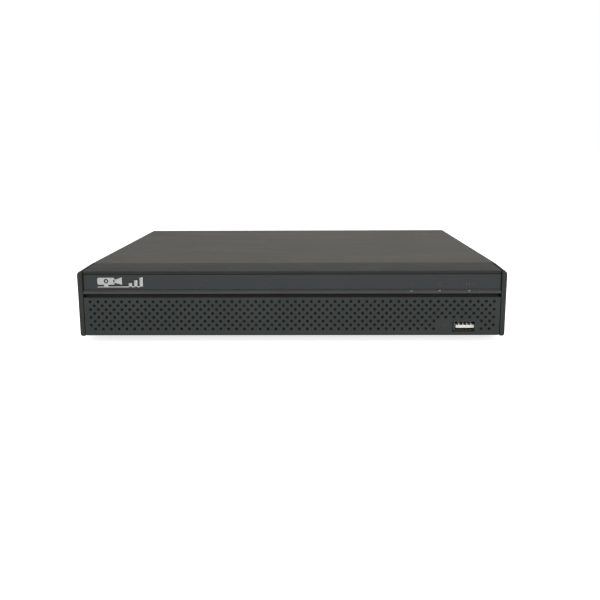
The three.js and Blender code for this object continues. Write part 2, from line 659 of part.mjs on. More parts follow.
/** The video socket's outline: a flat box with its lower corners cut, grown by an amount. */
function videoOutline(grow) {
  const half = VIDEO.width / 2 + grow;
  const c = VIDEO.chamfer;
  const top = VIDEO.height + grow;
  return outline([[-half + c, -grow], [half - c, -grow], [half, c], [half, top], [-half, top], [-half, c]]);
}

function videoSocket() {
  const shell = cut(pulledAlongY(videoOutline(0), -VIDEO.length, SOCKET_REACH),
    [pulledAlongY(videoOutline(-VIDEO.shell), -VIDEO.length + VIDEO.shell, SOCKET_REACH + 1)]);
  const middle = VIDEO.height / 2;
  const tongue = block(-VIDEO_TONGUE.width / 2, VIDEO_TONGUE.width / 2, -VIDEO.length + VIDEO.shell + GAP,
    SOCKET_REACH - USB_RECESS, middle - VIDEO_TONGUE.thickness / 2, middle + VIDEO_TONGUE.thickness / 2);
  return {
    pieces: [
      piece('video_socket_shell', shell.translate([0, 0, GAP]), BRIGHT_NICKEL),
      piece('video_socket_tongue', tongue.translate([0, 0, GAP]), SOCKET_BLACK),
    ],
    holes: [straightHole(VIDEO.width, GAP, GAP + VIDEO.height)],
  };
}

function networkSocket() {
  const half = NETWORK.width / 2;
  const body = block(-half, half, SOCKET_REACH - NETWORK.length, SOCKET_REACH, GAP, GAP + NETWORK.height);
  const portBottom = GAP + NETWORK_KEY.height + 2;
  const portStart = SOCKET_REACH - NETWORK.portDepth;
  const port = block(-NETWORK.port / 2, NETWORK.port / 2, portStart, SOCKET_REACH + 1,
    portBottom, portBottom + NETWORK.portHeight);
  const key = block(-NETWORK_KEY.width / 2, NETWORK_KEY.width / 2, portStart, SOCKET_REACH + 1,
    portBottom - NETWORK_KEY.height, portBottom + 1);
  return {
    pieces: [piece('network_socket', cut(body, [port, key]), BRIGHT_NICKEL)],
    holes: [straightHole(NETWORK.width, GAP, GAP + NETWORK.height)],
  };
}

function rearUsbSocket() {
  const rise = GAP + USB_HEIGHT / 2;
  const turnedRound = group([0, SOCKET_REACH, rise],
    [usbShell('rear_usb_shell'), usbTongue('rear_usb_tongue')]);
  turnedRound.rotation.z = Math.PI;
  return { pieces: [turnedRound], holes: [straightHole(USB_WIDTH, GAP, GAP + USB_HEIGHT)] };
}

const TERMINAL_WIDTH = TERMINAL.ways * TERMINAL.pitch + 2 * TERMINAL.wall;

function terminalBlock() {
  const half = TERMINAL_WIDTH / 2;
  const { wall, height, length, cavity, reach, pitch, ways } = TERMINAL;
  const bottom = GAP;
  const header = block(-half, half, -length, SOCKET_REACH, bottom, bottom + height);
  const inside = block(-half + wall, half - wall, SOCKET_REACH - cavity, SOCKET_REACH + 1,
    bottom + wall, bottom + height - wall);
  const plugHalf = half - wall - GAP;
  const nose = block(-plugHalf, plugHalf, SOCKET_REACH - cavity + GAP, SOCKET_REACH + GAP + 1,
    bottom + wall + GAP, bottom + height - wall - GAP);
  const grip = block(-plugHalf, plugHalf, SOCKET_REACH + GAP, reach, bottom, bottom + height + 1);
  const wireHoles = Array.from({ length: ways }, (_, i) => rod('y', TERMINAL_WIRE_HOLE.radius,
    reach - TERMINAL_WIRE_HOLE.depth, reach + 1, 10)
    .translate([(i - (ways - 1) / 2) * pitch, 0, bottom + height / 2]));
  return {
    pieces: [
      piece('terminal_header', header.subtract(inside), SOCKET_GREEN),
      piece('terminal_plug', cut(nose.add(grip), wireHoles), SOCKET_GREEN),
    ],
    holes: [straightHole(TERMINAL_WIDTH, bottom, bottom + height)],
  };
}

function powerJack() {
  const half = POWER.width / 2;
  const body = block(-half, half, SOCKET_REACH - POWER.length, SOCKET_REACH, GAP, GAP + POWER.height);
  const floor = SOCKET_REACH - POWER.depth;
  const axis = GAP + POWER.height / 2;
  const well = rod('y', POWER.bore, floor, SOCKET_REACH + 1, 18);
  const pin = rod('y', POWER.pin, floor - 1, SOCKET_REACH - 1, 10);
  const shape = body.subtract(well.translate([0, 0, axis])).add(pin.translate([0, 0, axis]));
  return {
    pieces: [piece('power_jack', shape, SOCKET_BLACK)],
    holes: [straightHole(POWER.width, GAP, GAP + POWER.height)],
  };
}

/** A pan-head screw whose head stands on Y = 0 and whose shank points to -Y. */
function screw(size) {
  const shank = rod('y', size.radius, -size.length, size.headHeight / 2, 10);
  const head = turned('y', [
    [0, 0],
    [size.head, 0],
    [size.head, size.headHeight * 0.5],
    [size.head * 0.7, size.headHeight],
    [0, size.headHeight],
  ], 14);
  return shank.add(head);
}

function groundScrew() {
  const shape = screw(GROUND_SCREW).translate([0, GAP, GROUND_SCREW_RISE]);
  return {
    pieces: [piece('ground_screw', shape, SILVER)],
    holes: [roundHole(GROUND_SCREW.radius, GROUND_SCREW_RISE)],
  };
}

/** The rear sockets with their widths, in their order from -X to +X. */
function rearRow() {
  const camera = (number) => ({ width: BNC.body, ...cameraJack(`camera_jack_${number}`) });
  return [
    { width: POWER.width, ...powerJack() },
    { width: 2 * GROUND_SCREW.head, ...groundScrew() },
    { width: TERMINAL_WIDTH, ...terminalBlock() },
    { width: USB_WIDTH, ...rearUsbSocket() },
    { width: NETWORK.width, ...networkSocket() },
    { width: VIDEO.width, ...videoSocket() },
    { width: MONITOR.width, ...monitorSocket() },
    { width: RCA.width, ...audioJacks() },
    camera(4), camera(3), camera(2), camera(1),
  ];
}

/** Spreads the row evenly between the chassis's sides and gives each socket its place. */
function spreadRow(row) {
  const room = 2 * (CHASSIS_HALF - ROW_MARGIN);
  const taken = row.reduce((sum, socket) => sum + socket.width, 0);
  const space = (room - taken) / (row.length - 1);
  let left = -room / 2;
  return row.map((socket) => {
    const x = left + socket.width / 2;
    left += socket.width + space;
    return { ...socket, x };
  });
}

const REAR_ROW = spreadRow(rearRow());

// ---------------------------------------------------------------- chassis and cover

/** The four places around a centre, at half spacings. */
function fourCorners(x, y, halfX, halfY) {
  return [[x - halfX, y - halfY], [x + halfX, y - halfY], [x + halfX, y + halfY], [x - halfX, y + halfY]];
}

function boardPostPlaces() {
  const halfX = BOARD_HALF - BOARD_POST_INSET;
  return fourCorners(0, (BOARD_FRONT + BOARD_REAR) / 2, halfX, BOARD_DEPTH / 2 - BOARD_POST_INSET);
}

function driveScrewPlaces() {
  return fourCorners(DRIVE_X, DRIVE_Y, DRIVE_HOLE_SPACING / 2, (DRIVE.width - DRIVE_RAIL) / 2);
}

function coverScrewPlaces() {
  const side = CHASSIS_HALF - COVER_LIP;
  return [-side, 0, side].map((x) => [x, COVER_TOP - COVER_LIP / 2]);
}

function fanTab() {
  const half = FAN_SIZE / 2 + FAN_TAB_MARGIN;
  return block(INNER_HALF, CHASSIS_HALF, FAN_Y - half, FAN_Y + half, 0, FAN_Z + half);
}

/** Evenly spaced places around a middle. */
function evenly(count, pitch, middle = 0) {
  return Array.from({ length: count }, (_, i) => middle + (i - (count - 1) / 2) * pitch);
}

function chassisSheets() {
  const plates = [
    block(-CHASSIS_HALF, CHASSIS_HALF, CHASSIS_START, DEPTH, 0, CHASSIS_SHEET),
    block(-CHASSIS_HALF, CHASSIS_HALF, REAR_INSIDE, DEPTH, 0, CHASSIS_TOP),
    block(-CHASSIS_HALF, CHASSIS_HALF, CHASSIS_START, CHASSIS_START + CHASSIS_SHEET, 0, CHASSIS_TOP),
    block(-CHASSIS_HALF, -INNER_HALF, CHASSIS_START, DEPTH, 0, FLANGE_HEIGHT),
    block(INNER_HALF, CHASSIS_HALF, CHASSIS_START, DEPTH, 0, FLANGE_HEIGHT),
    fanTab(),
  ];
  const posts = boardPostPlaces().map(([x, y]) => rod('z', BOARD_POST_RADIUS, 0, BOARD_BOTTOM - GAP, 12)
    .translate([x, y, 0]));
  const bosses = driveScrewPlaces().map(([x, y]) => rod('z', DRIVE_BOSS_RADIUS, 0, DRIVE_Z - GAP, 14)
    .translate([x, y, 0]));
  return joined([...plates, ...posts, ...bosses]);
}

function chassisVents() {
  const floorMiddle = DRIVE_Y - FLOOR_VENT.length / 2;
  const floor = evenly(FLOOR_VENT.columns, FLOOR_VENT.pitch, DRIVE_X).map((x) => block(
    x - FLOOR_VENT.width / 2, x + FLOOR_VENT.width / 2, floorMiddle, floorMiddle + FLOOR_VENT.length,
    -1, CHASSIS_SHEET + 1));
  const middle = CHASSIS_TOP / 2;
  const wall = evenly(WALL_VENT.columns, WALL_VENT.pitch, DRIVE_X).map((x) => block(
    x - WALL_VENT.width / 2, x + WALL_VENT.width / 2, CHASSIS_START - 1, CHASSIS_START + CHASSIS_SHEET + 1,
    middle - WALL_VENT.height / 2, middle + WALL_VENT.height / 2));
  return [...floor, ...wall];
}

function chassisHoles() {
  const sockets = REAR_ROW.flatMap(
    ({ x, holes }) => holes.map((hole) => hole.translate([x, DEPTH, BOARD_TOP])));
  const coverScrews = coverScrewPlaces().map(([x, z]) => rod('y', COVER_SCREW.radius + GAP,
    REAR_INSIDE - 1, DEPTH + 1, 12).translate([x, 0, z]));
  const driveScrews = driveScrewPlaces().map(([x, y]) => rod('z', DRIVE_SCREW.radius + GAP, -1, DRIVE_Z, 12)
    .translate([x, y, 0]));
  const fanMouth = rod('x', FAN_MOUTH, INNER_HALF - 1, CHASSIS_HALF + 1, 24).translate([0, FAN_Y, FAN_Z]);
  const half = RIBBON.plug / 2 + 2 * GAP;
  const ribbonWindow = block(RIBBON_X - half, RIBBON_X + half, CHASSIS_START - 1,
    CHASSIS_START + CHASSIS_SHEET + 1, CHASSIS_TOP / 2 - RIBBON_WINDOW.below,
    CHASSIS_TOP / 2 + RIBBON_WINDOW.above);
  return [...sockets, ...coverScrews, ...driveScrews, fanMouth, ribbonWindow];
}

function chassisPan() {
  return piece('chassis_pan', cut(chassisSheets(), [...chassisHoles(), ...chassisVents()]), ZINC_STEEL);
}

function topCover() {
  const end = DEPTH + GAP + COVER_SHEET;
  const section = roundedRectangle(-COVER_HALF, COVER_HALF, 0, COVER_TOP, [0, 0, COVER_BEND, COVER_BEND]);
  const shell = pulledAlongY(section, CHASSIS_START, end, 3);
  const inner = COVER_HALF - COVER_SHEET;
  const inside = block(-inner, inner, CHASSIS_START - 1, DEPTH + GAP, -1, COVER_TOP - COVER_SHEET);
  const belowLip = block(-COVER_HALF - 1, COVER_HALF + 1, DEPTH + GAP / 2, end + 1,
    -1, COVER_TOP - COVER_LIP);
  const screwHoles = coverScrewPlaces().map(([x, z]) => rod('y', COVER_SCREW.radius + GAP, DEPTH, end + 1, 12)
    .translate([x, 0, z]));
  const vents = evenly(SIDE_VENT.rows, SIDE_VENT.spacing, CHASSIS_TOP / 2 + SIDE_VENT.rise).flatMap(
    (z) => evenly(SIDE_VENT.columns, SIDE_VENT.pitch, FAN_Y).map((y) => block(-WIDTH, WIDTH,
      y - SIDE_VENT.width / 2, y + SIDE_VENT.width / 2, z - SIDE_VENT.height / 2, z + SIDE_VENT.height / 2)));
  return piece('top_cover', cut(shell, [inside, belowLip, ...screwHoles, ...vents]), PAINTED_STEEL);
}

function coverScrews() {
  const names = ['cover_screw_left', 'cover_screw_middle', 'cover_screw_right'];
  return coverScrewPlaces().map(([x, z], i) => piece(names[i], screw(COVER_SCREW), SILVER,
    [x, DEPTH + GAP + COVER_SHEET + GAP, z]));
}

function feet() {
  const halfX = CHASSIS_HALF - FOOT_INSET;
  const places = { foot_front_left: [-halfX, FOOT_SETBACK], foot_front_right: [halfX, FOOT_SETBACK],
    foot_rear_left: [-halfX, DEPTH - FOOT_INSET], foot_rear_right: [halfX, DEPTH - FOOT_INSET] };
  const profile = [[0, -FOOT_HEIGHT], [FOOT_RADIUS - 1, -FOOT_HEIGHT], [FOOT_RADIUS, -FOOT_HEIGHT + 1],
    [FOOT_RADIUS, -GAP], [0, -GAP]];
  return Object.entries(places).map(
    ([name, [x, y]]) => piece(name, turned('z', profile, 20), RUBBER, [x, y, 0]));
}

// ---------------------------------------------------------------- main board
// Z = 0 is the board's top, Y its distance behind the front face.

/** Places in one line along the board, in front of the rear sockets. */
const COMPONENT_Y = BOARD_REAR - NETWORK.length - COMPONENT_SPACING - HEAT_SINK.size / 2;

function mainBoard() {
  const shape = block(-BOARD_HALF, BOARD_HALF, BOARD_FRONT, BOARD_REAR, -BOARD_THICKNESS, 0);
  return piece('main_board', shape, GREEN_BOARD);
}

function processor() {
  const half = PROCESSOR.size / 2;
  return piece('processor', block(-half, half, -half, half, GAP, GAP + PROCESSOR.thickness), CHIP_BLACK,
    [0, COMPONENT_Y, 0]);
}

function heatSink() {
  const half = HEAT_SINK.size / 2;
  const foot = 2 * GAP + PROCESSOR.thickness;
  const base = block(-half, half, -half, half, foot, foot + HEAT_SINK.base);
  const pitch = (HEAT_SINK.size - HEAT_SINK.fin) / (HEAT_SINK.fins - 1);
  const fins = evenly(HEAT_SINK.fins, pitch).map((x) => block(x - HEAT_SINK.fin / 2, x + HEAT_SINK.fin / 2,
    -half, half, foot + HEAT_SINK.base - 1, foot + HEAT_SINK.height));
  return piece('heat_sink', joined([base, ...fins]), ALUMINIUM, [0, COMPONENT_Y, 0]);
}

function memoryChip() {
  const x = -(HEAT_SINK.size + MEMORY_CHIP.width) / 2 - COMPONENT_SPACING;
  const shape = block(-MEMORY_CHIP.width / 2, MEMORY_CHIP.width / 2, -MEMORY_CHIP.length / 2,
    MEMORY_CHIP.length / 2, GAP, GAP + MEMORY_CHIP.thickness);
  return piece('memory_chip', shape, CHIP_BLACK, [x, COMPONENT_Y, 0]);
}

const CELL_X = -HEAT_SINK.size / 2 - MEMORY_CHIP.width - CELL.radius - 3 * COMPONENT_SPACING;

function cellHolder() {
  const inner = CELL.radius + GAP;
  const outer = inner + CELL_HOLDER.wall;
  const floor = GAP + CELL_HOLDER.floor;
  const rim = floor + CELL.thickness;
  const cup = turned('z', [[0, GAP], [outer, GAP], [outer, rim], [inner, rim], [inner, floor], [0, floor]], 24);
  const fingerGap = block(-CELL_HOLDER.gap / 2, CELL_HOLDER.gap / 2, inner - 2, outer + 1,
    floor, floor + 2 * CELL.thickness);
  return piece('clock_cell_holder', cup.subtract(fingerGap), SOCKET_BLACK, [CELL_X, COMPONENT_Y, 0]);
}

function clockCell() {
  const floor = 2 * GAP + CELL_HOLDER.floor;
  const shape = turned('z', [[0, floor], [CELL.radius, floor], [CELL.radius, floor + CELL.thickness],
    [0, floor + CELL.thickness]], 24);
  return piece('clock_cell', shape, SILVER, [CELL_X, COMPONENT_Y, 0]);
}

function buzzer() {
  const x = (POWER_PLUG_X + RIBBON_X) / 2;
  const shape = turned('z', [[0, GAP], [BUZZER.radius, GAP], [BUZZER.radius, BUZZER.height],
    [BUZZER.hole, BUZZER.height], [BUZZER.hole, BUZZER.height - 1], [0, BUZZER.height - 1]], 20);
  return piece('buzzer', shape, SOCKET_BLACK, [x, COMPONENT_Y, 0]);
}

// ---------------------------------------------------------------- fan
// Its axis is X; X = 0 is the side against the chassis, the fan reaches to -X.

function fanFrame() {
  const half = FAN_SIZE / 2;
  const shell = block(-FAN_THICKNESS, 0, -half, half, -half, half);
  const mouth = rod('x', FAN_MOUTH, -FAN_THICKNESS - 1, 1, 24);
  const mount = rod('x', FAN_HUB, -FAN_STRUT, 0, 16);
  const strutHalf = FAN_STRUT / 2;
  const struts = [
    block(-FAN_STRUT, 0, -half, half, -strutHalf, strutHalf),
    block(-FAN_STRUT, 0, -strutHalf, strutHalf, -half, half),
  ];
  return piece('fan_frame', joined([shell.subtract(mouth), mount, ...struts]), SOCKET_BLACK);
}

function fanRotor() {
  const end = -FAN_STRUT - GAP;
  const hub = rod('x', FAN_HUB, -FAN_THICKNESS + GAP, end, 16);
  const tip = FAN_MOUTH - FAN_TIP_CLEARANCE;
  const middle = (end - FAN_THICKNESS) / 2;
  const width = FAN_THICKNESS - FAN_STRUT - 4 * GAP;
  const blade = block(-width / 2, width / 2, -FAN_BLADE_THICKNESS / 2, FAN_BLADE_THICKNESS / 2,
    FAN_HUB - 1, tip - 0.5).rotate([0, 0, FAN_BLADE_TILT]).translate([middle, 0, 0]);
  const blades = Array.from({ length: FAN_BLADES }, (_, i) => blade.rotate([i * 360 / FAN_BLADES, 0, 0]));
  return piece('fan_rotor', joined([hub, ...blades]), SOCKET_BLACK);
}

// ---------------------------------------------------------------- hard drive
// X runs along it with the connector end at +X, Z = 0 is its underside.

/** The room for the platters and the head arm. */
function drivePocket() {
  const bowl = rod('z', PLATTER.radius + BOWL_CLEARANCE, DRIVE_FLOOR, DRIVE.height, 32)
    .translate([PLATTER_X, 0, 0]);
  const bay = block(PLATTER_X + ARM_BAY.start, PLATTER_X + ARM_PIVOT.along + ARM_BAY.beyond,
    ARM_BAY.side - DRIVE.width / 2, ARM_BAY.upper, DRIVE_FLOOR, DRIVE.height);
  return bowl.add(bay);
}

function driveBoardBay(clearance) {
  const half = DRIVE.width / 2 - DRIVE_RAIL - DRIVE_BOSS_RADIUS / 2;
  const end = DRIVE.length / 2 - DRIVE_WALL;
  return block(end - DRIVE_BOARD.length + clearance, end - clearance, -half + clearance, half - clearance,
    clearance ? DRIVE_BOARD.recess - DRIVE_BOARD.thickness - GAP : -1,
    clearance ? DRIVE_BOARD.recess - GAP : DRIVE_BOARD.recess);
}

function driveBase() {
  const halfX = DRIVE.length / 2;
  const halfY = DRIVE.width / 2;
  const plan = roundedRectangle(-halfX, halfX, -halfY, halfY, Array(4).fill(DRIVE_CORNER));
  const casting = pulledAlongZ(plan, 0, DRIVE.height - DRIVE_LID - GAP, 3);
  const holes = driveScrewPlaces().map(([x, y]) => rod('z', DRIVE_SCREW.radius + GAP, -1, DRIVE_FLOOR + 1, 12)
    .translate([x - DRIVE_X, y - DRIVE_Y, 0]));
  return piece('drive_base', cut(casting, [drivePocket(), driveBoardBay(0), ...holes]), ALUMINIUM);
}

function driveLid() {
  const halfX = DRIVE.length / 2 - 1;
  const halfY = DRIVE.width / 2 - 1;
  const plan = roundedRectangle(-halfX, halfX, -halfY, halfY, Array(4).fill(DRIVE_CORNER));
  return piece('drive_lid', pulledAlongZ(plan, DRIVE.height - DRIVE_LID, DRIVE.height, 3), SILVER);
}

function driveBoard() {
  return piece('drive_board', driveBoardBay(GAP), BLUE_BOARD);
}

const PLATTER_FOOT = DRIVE_FLOOR + 1;

function platterTop() {
  return PLATTER_FOOT + PLATTER.first + (PLATTER.count - 1) * PLATTER.spacing + PLATTER.thickness;
}

function drivePlatters() {
  const hub = rod('z', PLATTER.hub, PLATTER_FOOT, PLATTER_FOOT + PLATTER.hubHeight, 20);
  const discs = Array.from({ length: PLATTER.count }, (_, i) => {
    const z = PLATTER_FOOT + PLATTER.first + i * PLATTER.spacing;
    return rod('z', PLATTER.radius, z, z + PLATTER.thickness, 40);
  });
  return piece('drive_platters', joined([hub, ...discs]), MIRROR_DISC, [PLATTER_X, 0, 0]);
}

/** The head arm at its pivot, parked off the platters. */
function driveArm() {
  const pivot = rod('z', ARM_PIVOT.radius, PLATTER_FOOT, PLATTER_FOOT + ARM_PIVOT.height, 16);
  const foot = platterTop() + ARM_BLADE.lift;
  const halfRoot = ARM_BLADE.root / 2;
  const halfTip = ARM_BLADE.tip / 2;
  const blade = pulledAlongZ(outline([[0, -halfRoot], [ARM_LENGTH, -halfTip], [ARM_LENGTH, halfTip],
    [0, halfRoot]]), foot, foot + ARM_BLADE.thickness);
  const coil = block(-ARM_COIL.length, 0, -ARM_COIL.width / 2, ARM_COIL.width / 2,
    foot - ARM_COIL.depth, foot + ARM_BLADE.thickness);
  const shape = joined([pivot, blade, coil]).rotate([0, 0, ARM_PARKED]);
  return piece('drive_arm', shape, ALUMINIUM, [PLATTER_X + ARM_PIVOT.along, ARM_PIVOT.across, 0]);
}

function driveScrews() {
  return driveScrewPlaces().map(([x, y], i) => piece(`drive_screw_${i + 1}`,
    screw(DRIVE_SCREW).rotate([-90, 0, 0]), SILVER, [x, y, -GAP]));
}

// ---------------------------------------------------------------- cables

/** A plug that stands on the main board and takes its cable from above. */
function boardPlug(x, plug) {
  const half = plug.plug / 2;
  const depth = plug.plugHeight / 2;
  return block(x - half, x + half, PLUG_Y - depth, PLUG_Y + depth, BOARD_TOP + GAP, PLUG_TOP);
}

/** The section of a flat cable. */
function flatSection(width, thickness) {
  const w = width / 2;
  const t = thickness / 2;
  return outline([[-w, -t], [w, -t], [w, t], [-w, t]]);
}

const PLUG_Y = BOARD_FRONT + PLUG_SPACING; // the row of plugs along the main board's front edge
const PLUG_TOP = BOARD_TOP + GAP + PLUG_LENGTH;
const DRIVE_PLUG_RISE = 6; // the drive's connector above its underside

/** A lead from the drive's connector end, where it starts at y, round to a plug on the main board. */
function driveLead(name, finish, section, plug, y, plugX, bend) {
  const start = DRIVE_END + GAP;
  const axis = DRIVE_Z + DRIVE_PLUG_RISE;
  const out = start + PLUG_LENGTH + bend;
  const drivePlug = block(start, start + PLUG_LENGTH, y - plug.plug / 2, y + plug.plug / 2,
    axis - plug.plugHeight / 2, axis + plug.plugHeight / 2);
  const lead = swept(section, [
    [start + PLUG_LENGTH - 1, y, axis],
    [start + PLUG_LENGTH + 0.4 * bend, y, axis + 0.5],
    [out, y + 0.5 * bend, axis + 4],
    [out, (y + PLUG_Y) / 2 + 3, PLUG_TOP],
    [(out + plugX) / 2, PLUG_Y - 6, PLUG_TOP + 8],
    [plugX, PLUG_Y, PLUG_TOP + 7],
    [plugX, PLUG_Y, PLUG_TOP - 1],
  ], 26);
  return piece(name, joined([drivePlug, boardPlug(plugX, plug), lead]), finish);
}

function driveDataCable() {
  const section = flatSection(DATA_CABLE.width, DATA_CABLE.thickness);
  const y = DRIVE_Y + POWER_CABLE.plug + PLUG_SPACING;
  return driveLead('drive_data_cable', CABLE_RED, section, DATA_CABLE, y, DATA_PLUG_X, LEAD_BEND.data);
}

function drivePowerCable() {
  const section = new THREE.Shape(evenly(8, Math.PI / 4).map(
    (angle) => new THREE.Vector2(Math.cos(angle), Math.sin(angle)).multiplyScalar(POWER_CABLE.radius)));
  return driveLead('drive_power_cable', SOCKET_BLACK, section, POWER_CABLE, DRIVE_Y, POWER_PLUG_X,
    LEAD_BEND.power);
}

function frontRibbonCable() {
  const start = FRONT_BOARD_SETBACK + BOARD_THICKNESS + GAP;
  const middle = CHASSIS_TOP / 2;
  const half = RIBBON.plug / 2;
  const frontPlug = block(RIBBON_X - half, RIBBON_X + half, start, start + PLUG_LENGTH - 2,
    middle - RIBBON.plugHeight / 2, middle + RIBBON.plugHeight / 2);
  const ribbon = swept(flatSection(RIBBON.width, RIBBON.thickness), [
    [RIBBON_X, start + PLUG_LENGTH - 3, middle],
    [RIBBON_X, CHASSIS_START + 6, middle - 1],
    [RIBBON_X, CHASSIS_START + 24, CHASSIS_SHEET + 6],
    [RIBBON_X, (CHASSIS_START + BOARD_FRONT) / 2, CHASSIS_SHEET + 4],
    [RIBBON_X, BOARD_FRONT - 14, CHASSIS_SHEET + 8],
    [RIBBON_X, PLUG_Y - 5, PLUG_TOP + 5],
    [RIBBON_X, PLUG_Y, PLUG_TOP + 3],
    [RIBBON_X, PLUG_Y, PLUG_TOP - 1],
  ], 30);
  const shape = joined([frontPlug, ribbon, boardPlug(RIBBON_X, RIBBON)]);
  return piece('front_ribbon_cable', shape, CABLE_GREY);
}

// ---------------------------------------------------------------- the whole recorder

const front = group([0, 0, 0], [
  frontBezel(), cheek('left_cheek', -1), cheek('right_cheek', 1), glossFascia(), grillePanel(), emblem(),
  ...lightGuides(), frontBoard(), frontUsbSocket(),
]);
const sockets = REAR_ROW.map(({ x, pieces }) => group([x, DEPTH, BOARD_TOP], pieces));
const board = group([0, 0, BOARD_TOP], [
  mainBoard(), processor(), heatSink(), memoryChip(), cellHolder(), clockCell(), buzzer(),
]);
const fan = group([FAN_X, FAN_Y, FAN_Z], [fanFrame(), fanRotor()]);
const drive = group([DRIVE_X, DRIVE_Y, DRIVE_Z], [
  driveBase(), driveLid(), driveBoard(), drivePlatters(), driveArm(),
]);
const cables = [driveDataCable(), drivePowerCable(), frontRibbonCable()];

const recorder = group([0, FRONT_Y, FOOT_HEIGHT], [
  front, chassisPan(), topCover(), ...coverScrews(), ...feet(), ...sockets, board, fan, drive,
  ...driveScrews(), ...cables,
]);

export default recorder;
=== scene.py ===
"""The finished look of a compact digital video recorder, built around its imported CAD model.

Shapes are made in millimetres in the CAD model's own frame: X to the right, Y to the rear, Z up,
with the front facing -Y. They turn into metres when a piece is finished.
"""

import json
import math
import random

import bmesh
import bpy
from mathutils import Matrix, Vector


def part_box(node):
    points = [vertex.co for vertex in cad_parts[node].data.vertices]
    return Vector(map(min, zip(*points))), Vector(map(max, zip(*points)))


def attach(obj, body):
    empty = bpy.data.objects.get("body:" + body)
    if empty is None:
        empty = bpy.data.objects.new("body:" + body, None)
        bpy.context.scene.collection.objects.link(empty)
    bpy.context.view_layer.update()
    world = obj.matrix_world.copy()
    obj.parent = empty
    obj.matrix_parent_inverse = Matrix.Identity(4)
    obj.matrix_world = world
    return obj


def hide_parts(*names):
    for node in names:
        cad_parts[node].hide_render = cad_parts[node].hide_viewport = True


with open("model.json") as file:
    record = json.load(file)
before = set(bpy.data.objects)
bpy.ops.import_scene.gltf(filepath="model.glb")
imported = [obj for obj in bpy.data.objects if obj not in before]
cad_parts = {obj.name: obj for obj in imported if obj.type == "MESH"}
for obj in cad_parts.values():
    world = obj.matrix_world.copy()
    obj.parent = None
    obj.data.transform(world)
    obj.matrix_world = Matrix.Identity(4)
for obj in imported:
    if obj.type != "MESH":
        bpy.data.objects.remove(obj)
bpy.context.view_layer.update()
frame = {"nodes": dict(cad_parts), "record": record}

PER_METRE = 1000
BODY = "case"

# ------------------------------------------------------------------ shapes
# Each of these returns a bmesh of its own; joined() puts several into one.

FACING_FRONT = Matrix.Rotation(math.radians(90), 4, "X")
FACING_REAR = Matrix.Rotation(math.pi, 4, "Z") @ FACING_FRONT
FACING_RIGHT = Matrix.Rotation(math.radians(90), 4, "Z") @ FACING_FRONT
FACING_LEFT = Matrix.Rotation(math.radians(-90), 4, "Z") @ FACING_FRONT
FACING_UP = Matrix.Identity(4)
FACING_DOWN = Matrix.Rotation(math.pi, 4, "X")


def placed(shape, where=(0, 0, 0), facing=FACING_UP):
    """Turns a shape so that its own +Z points the way it faces, and moves it to its place."""
    bmesh.ops.transform(shape, matrix=Matrix.Translation(where) @ facing, verts=shape.verts)
    return shape


def joined(*shapes):
    """One bmesh out of several."""
    whole = bmesh.new()
    for shape in shapes:
        mesh = bpy.data.meshes.new("joined")
        shape.to_mesh(mesh)
        shape.free()
        whole.from_mesh(mesh)
        bpy.data.meshes.remove(mesh)
    return whole


def repeated(shape, places):
    """The shape at each of these places, as one bmesh."""
    mesh = bpy.data.meshes.new("repeated")
    shape.to_mesh(mesh)
    shape.free()
    whole = bmesh.new()
    for place in places:
        before = set(whole.verts)
        whole.from_mesh(mesh)
        added = [v for v in whole.verts if v not in before]
        bmesh.ops.translate(whole, vec=Vector(place), verts=added)
    bpy.data.meshes.remove(mesh)
    return whole


def eased(shape, edge, segments=2, wanted=None, limit=30):
    """Rounds a shape's sharp edges, or those of them that are wanted."""
    sharp = [e for e in shape.edges if len(e.link_faces) == 2
             and e.calc_face_angle() > math.radians(limit) and (wanted is None or wanted(e))]
    bmesh.ops.bevel(shape, geom=sharp, offset=edge, segments=segments, profile=0.5, affect="EDGES",
                    clamp_overlap=True, material=-1)
    return shape


def block(low, high, edge=0.0, segments=2):
    """A block between two corners."""
    low, high = Vector(low), Vector(high)
    shape = bmesh.new()
    bmesh.ops.create_cube(shape, size=1, matrix=Matrix.LocRotScale((low + high) / 2, None, high - low))
    return eased(shape, edge, segments) if edge else shape


def rod(radius, bottom, top, sides=24, edge=0.0, tip=None):
    """A rod or cone along Z."""
    shape = bmesh.new()
    middle = Matrix.Translation((0, 0, (bottom + top) / 2))
    bmesh.ops.create_cone(shape, cap_ends=True, segments=sides, radius1=radius,
                          radius2=radius if tip is None else tip, depth=top - bottom, matrix=middle)
    return eased(shape, edge, wanted=lambda e: len(e.link_faces[0].verts) != len(e.link_faces[1].verts)) \
        if edge else shape


def turned(profile, sides=32):
    """A piece turned about Z: pairs of radius and height, from one end of the axis to the other."""
    shape = bmesh.new()
    corners = [shape.verts.new((radius, 0, height)) for radius, height in profile]
    line = [shape.edges.new(pair) for pair in zip(corners, corners[1:])]
    bmesh.ops.spin(shape, geom=corners + line, cent=(0, 0, 0), axis=(0, 0, 1), angle=math.tau,
                   steps=sides, use_merge=True)
    bmesh.ops.remove_doubles(shape, verts=shape.verts, dist=1e-4)
    bmesh.ops.recalc_face_normals(shape, faces=shape.faces)
    return shape


def prism(points, bottom, top, edge=0.0, segments=2):
    """An outline in XY pulled along Z."""
    shape = bmesh.new()
    face = shape.faces.new([shape.verts.new((x, y, bottom)) for x, y in points])
    pulled = bmesh.ops.extrude_face_region(shape, geom=[face], use_keep_orig=True)["geom"]
    bmesh.ops.translate(shape, vec=(0, 0, top - bottom),
                        verts=[v for v in pulled if isinstance(v, bmesh.types.BMVert)])
    bmesh.ops.recalc_face_normals(shape, faces=shape.faces)
    return eased(shape, edge, segments) if edge else shape


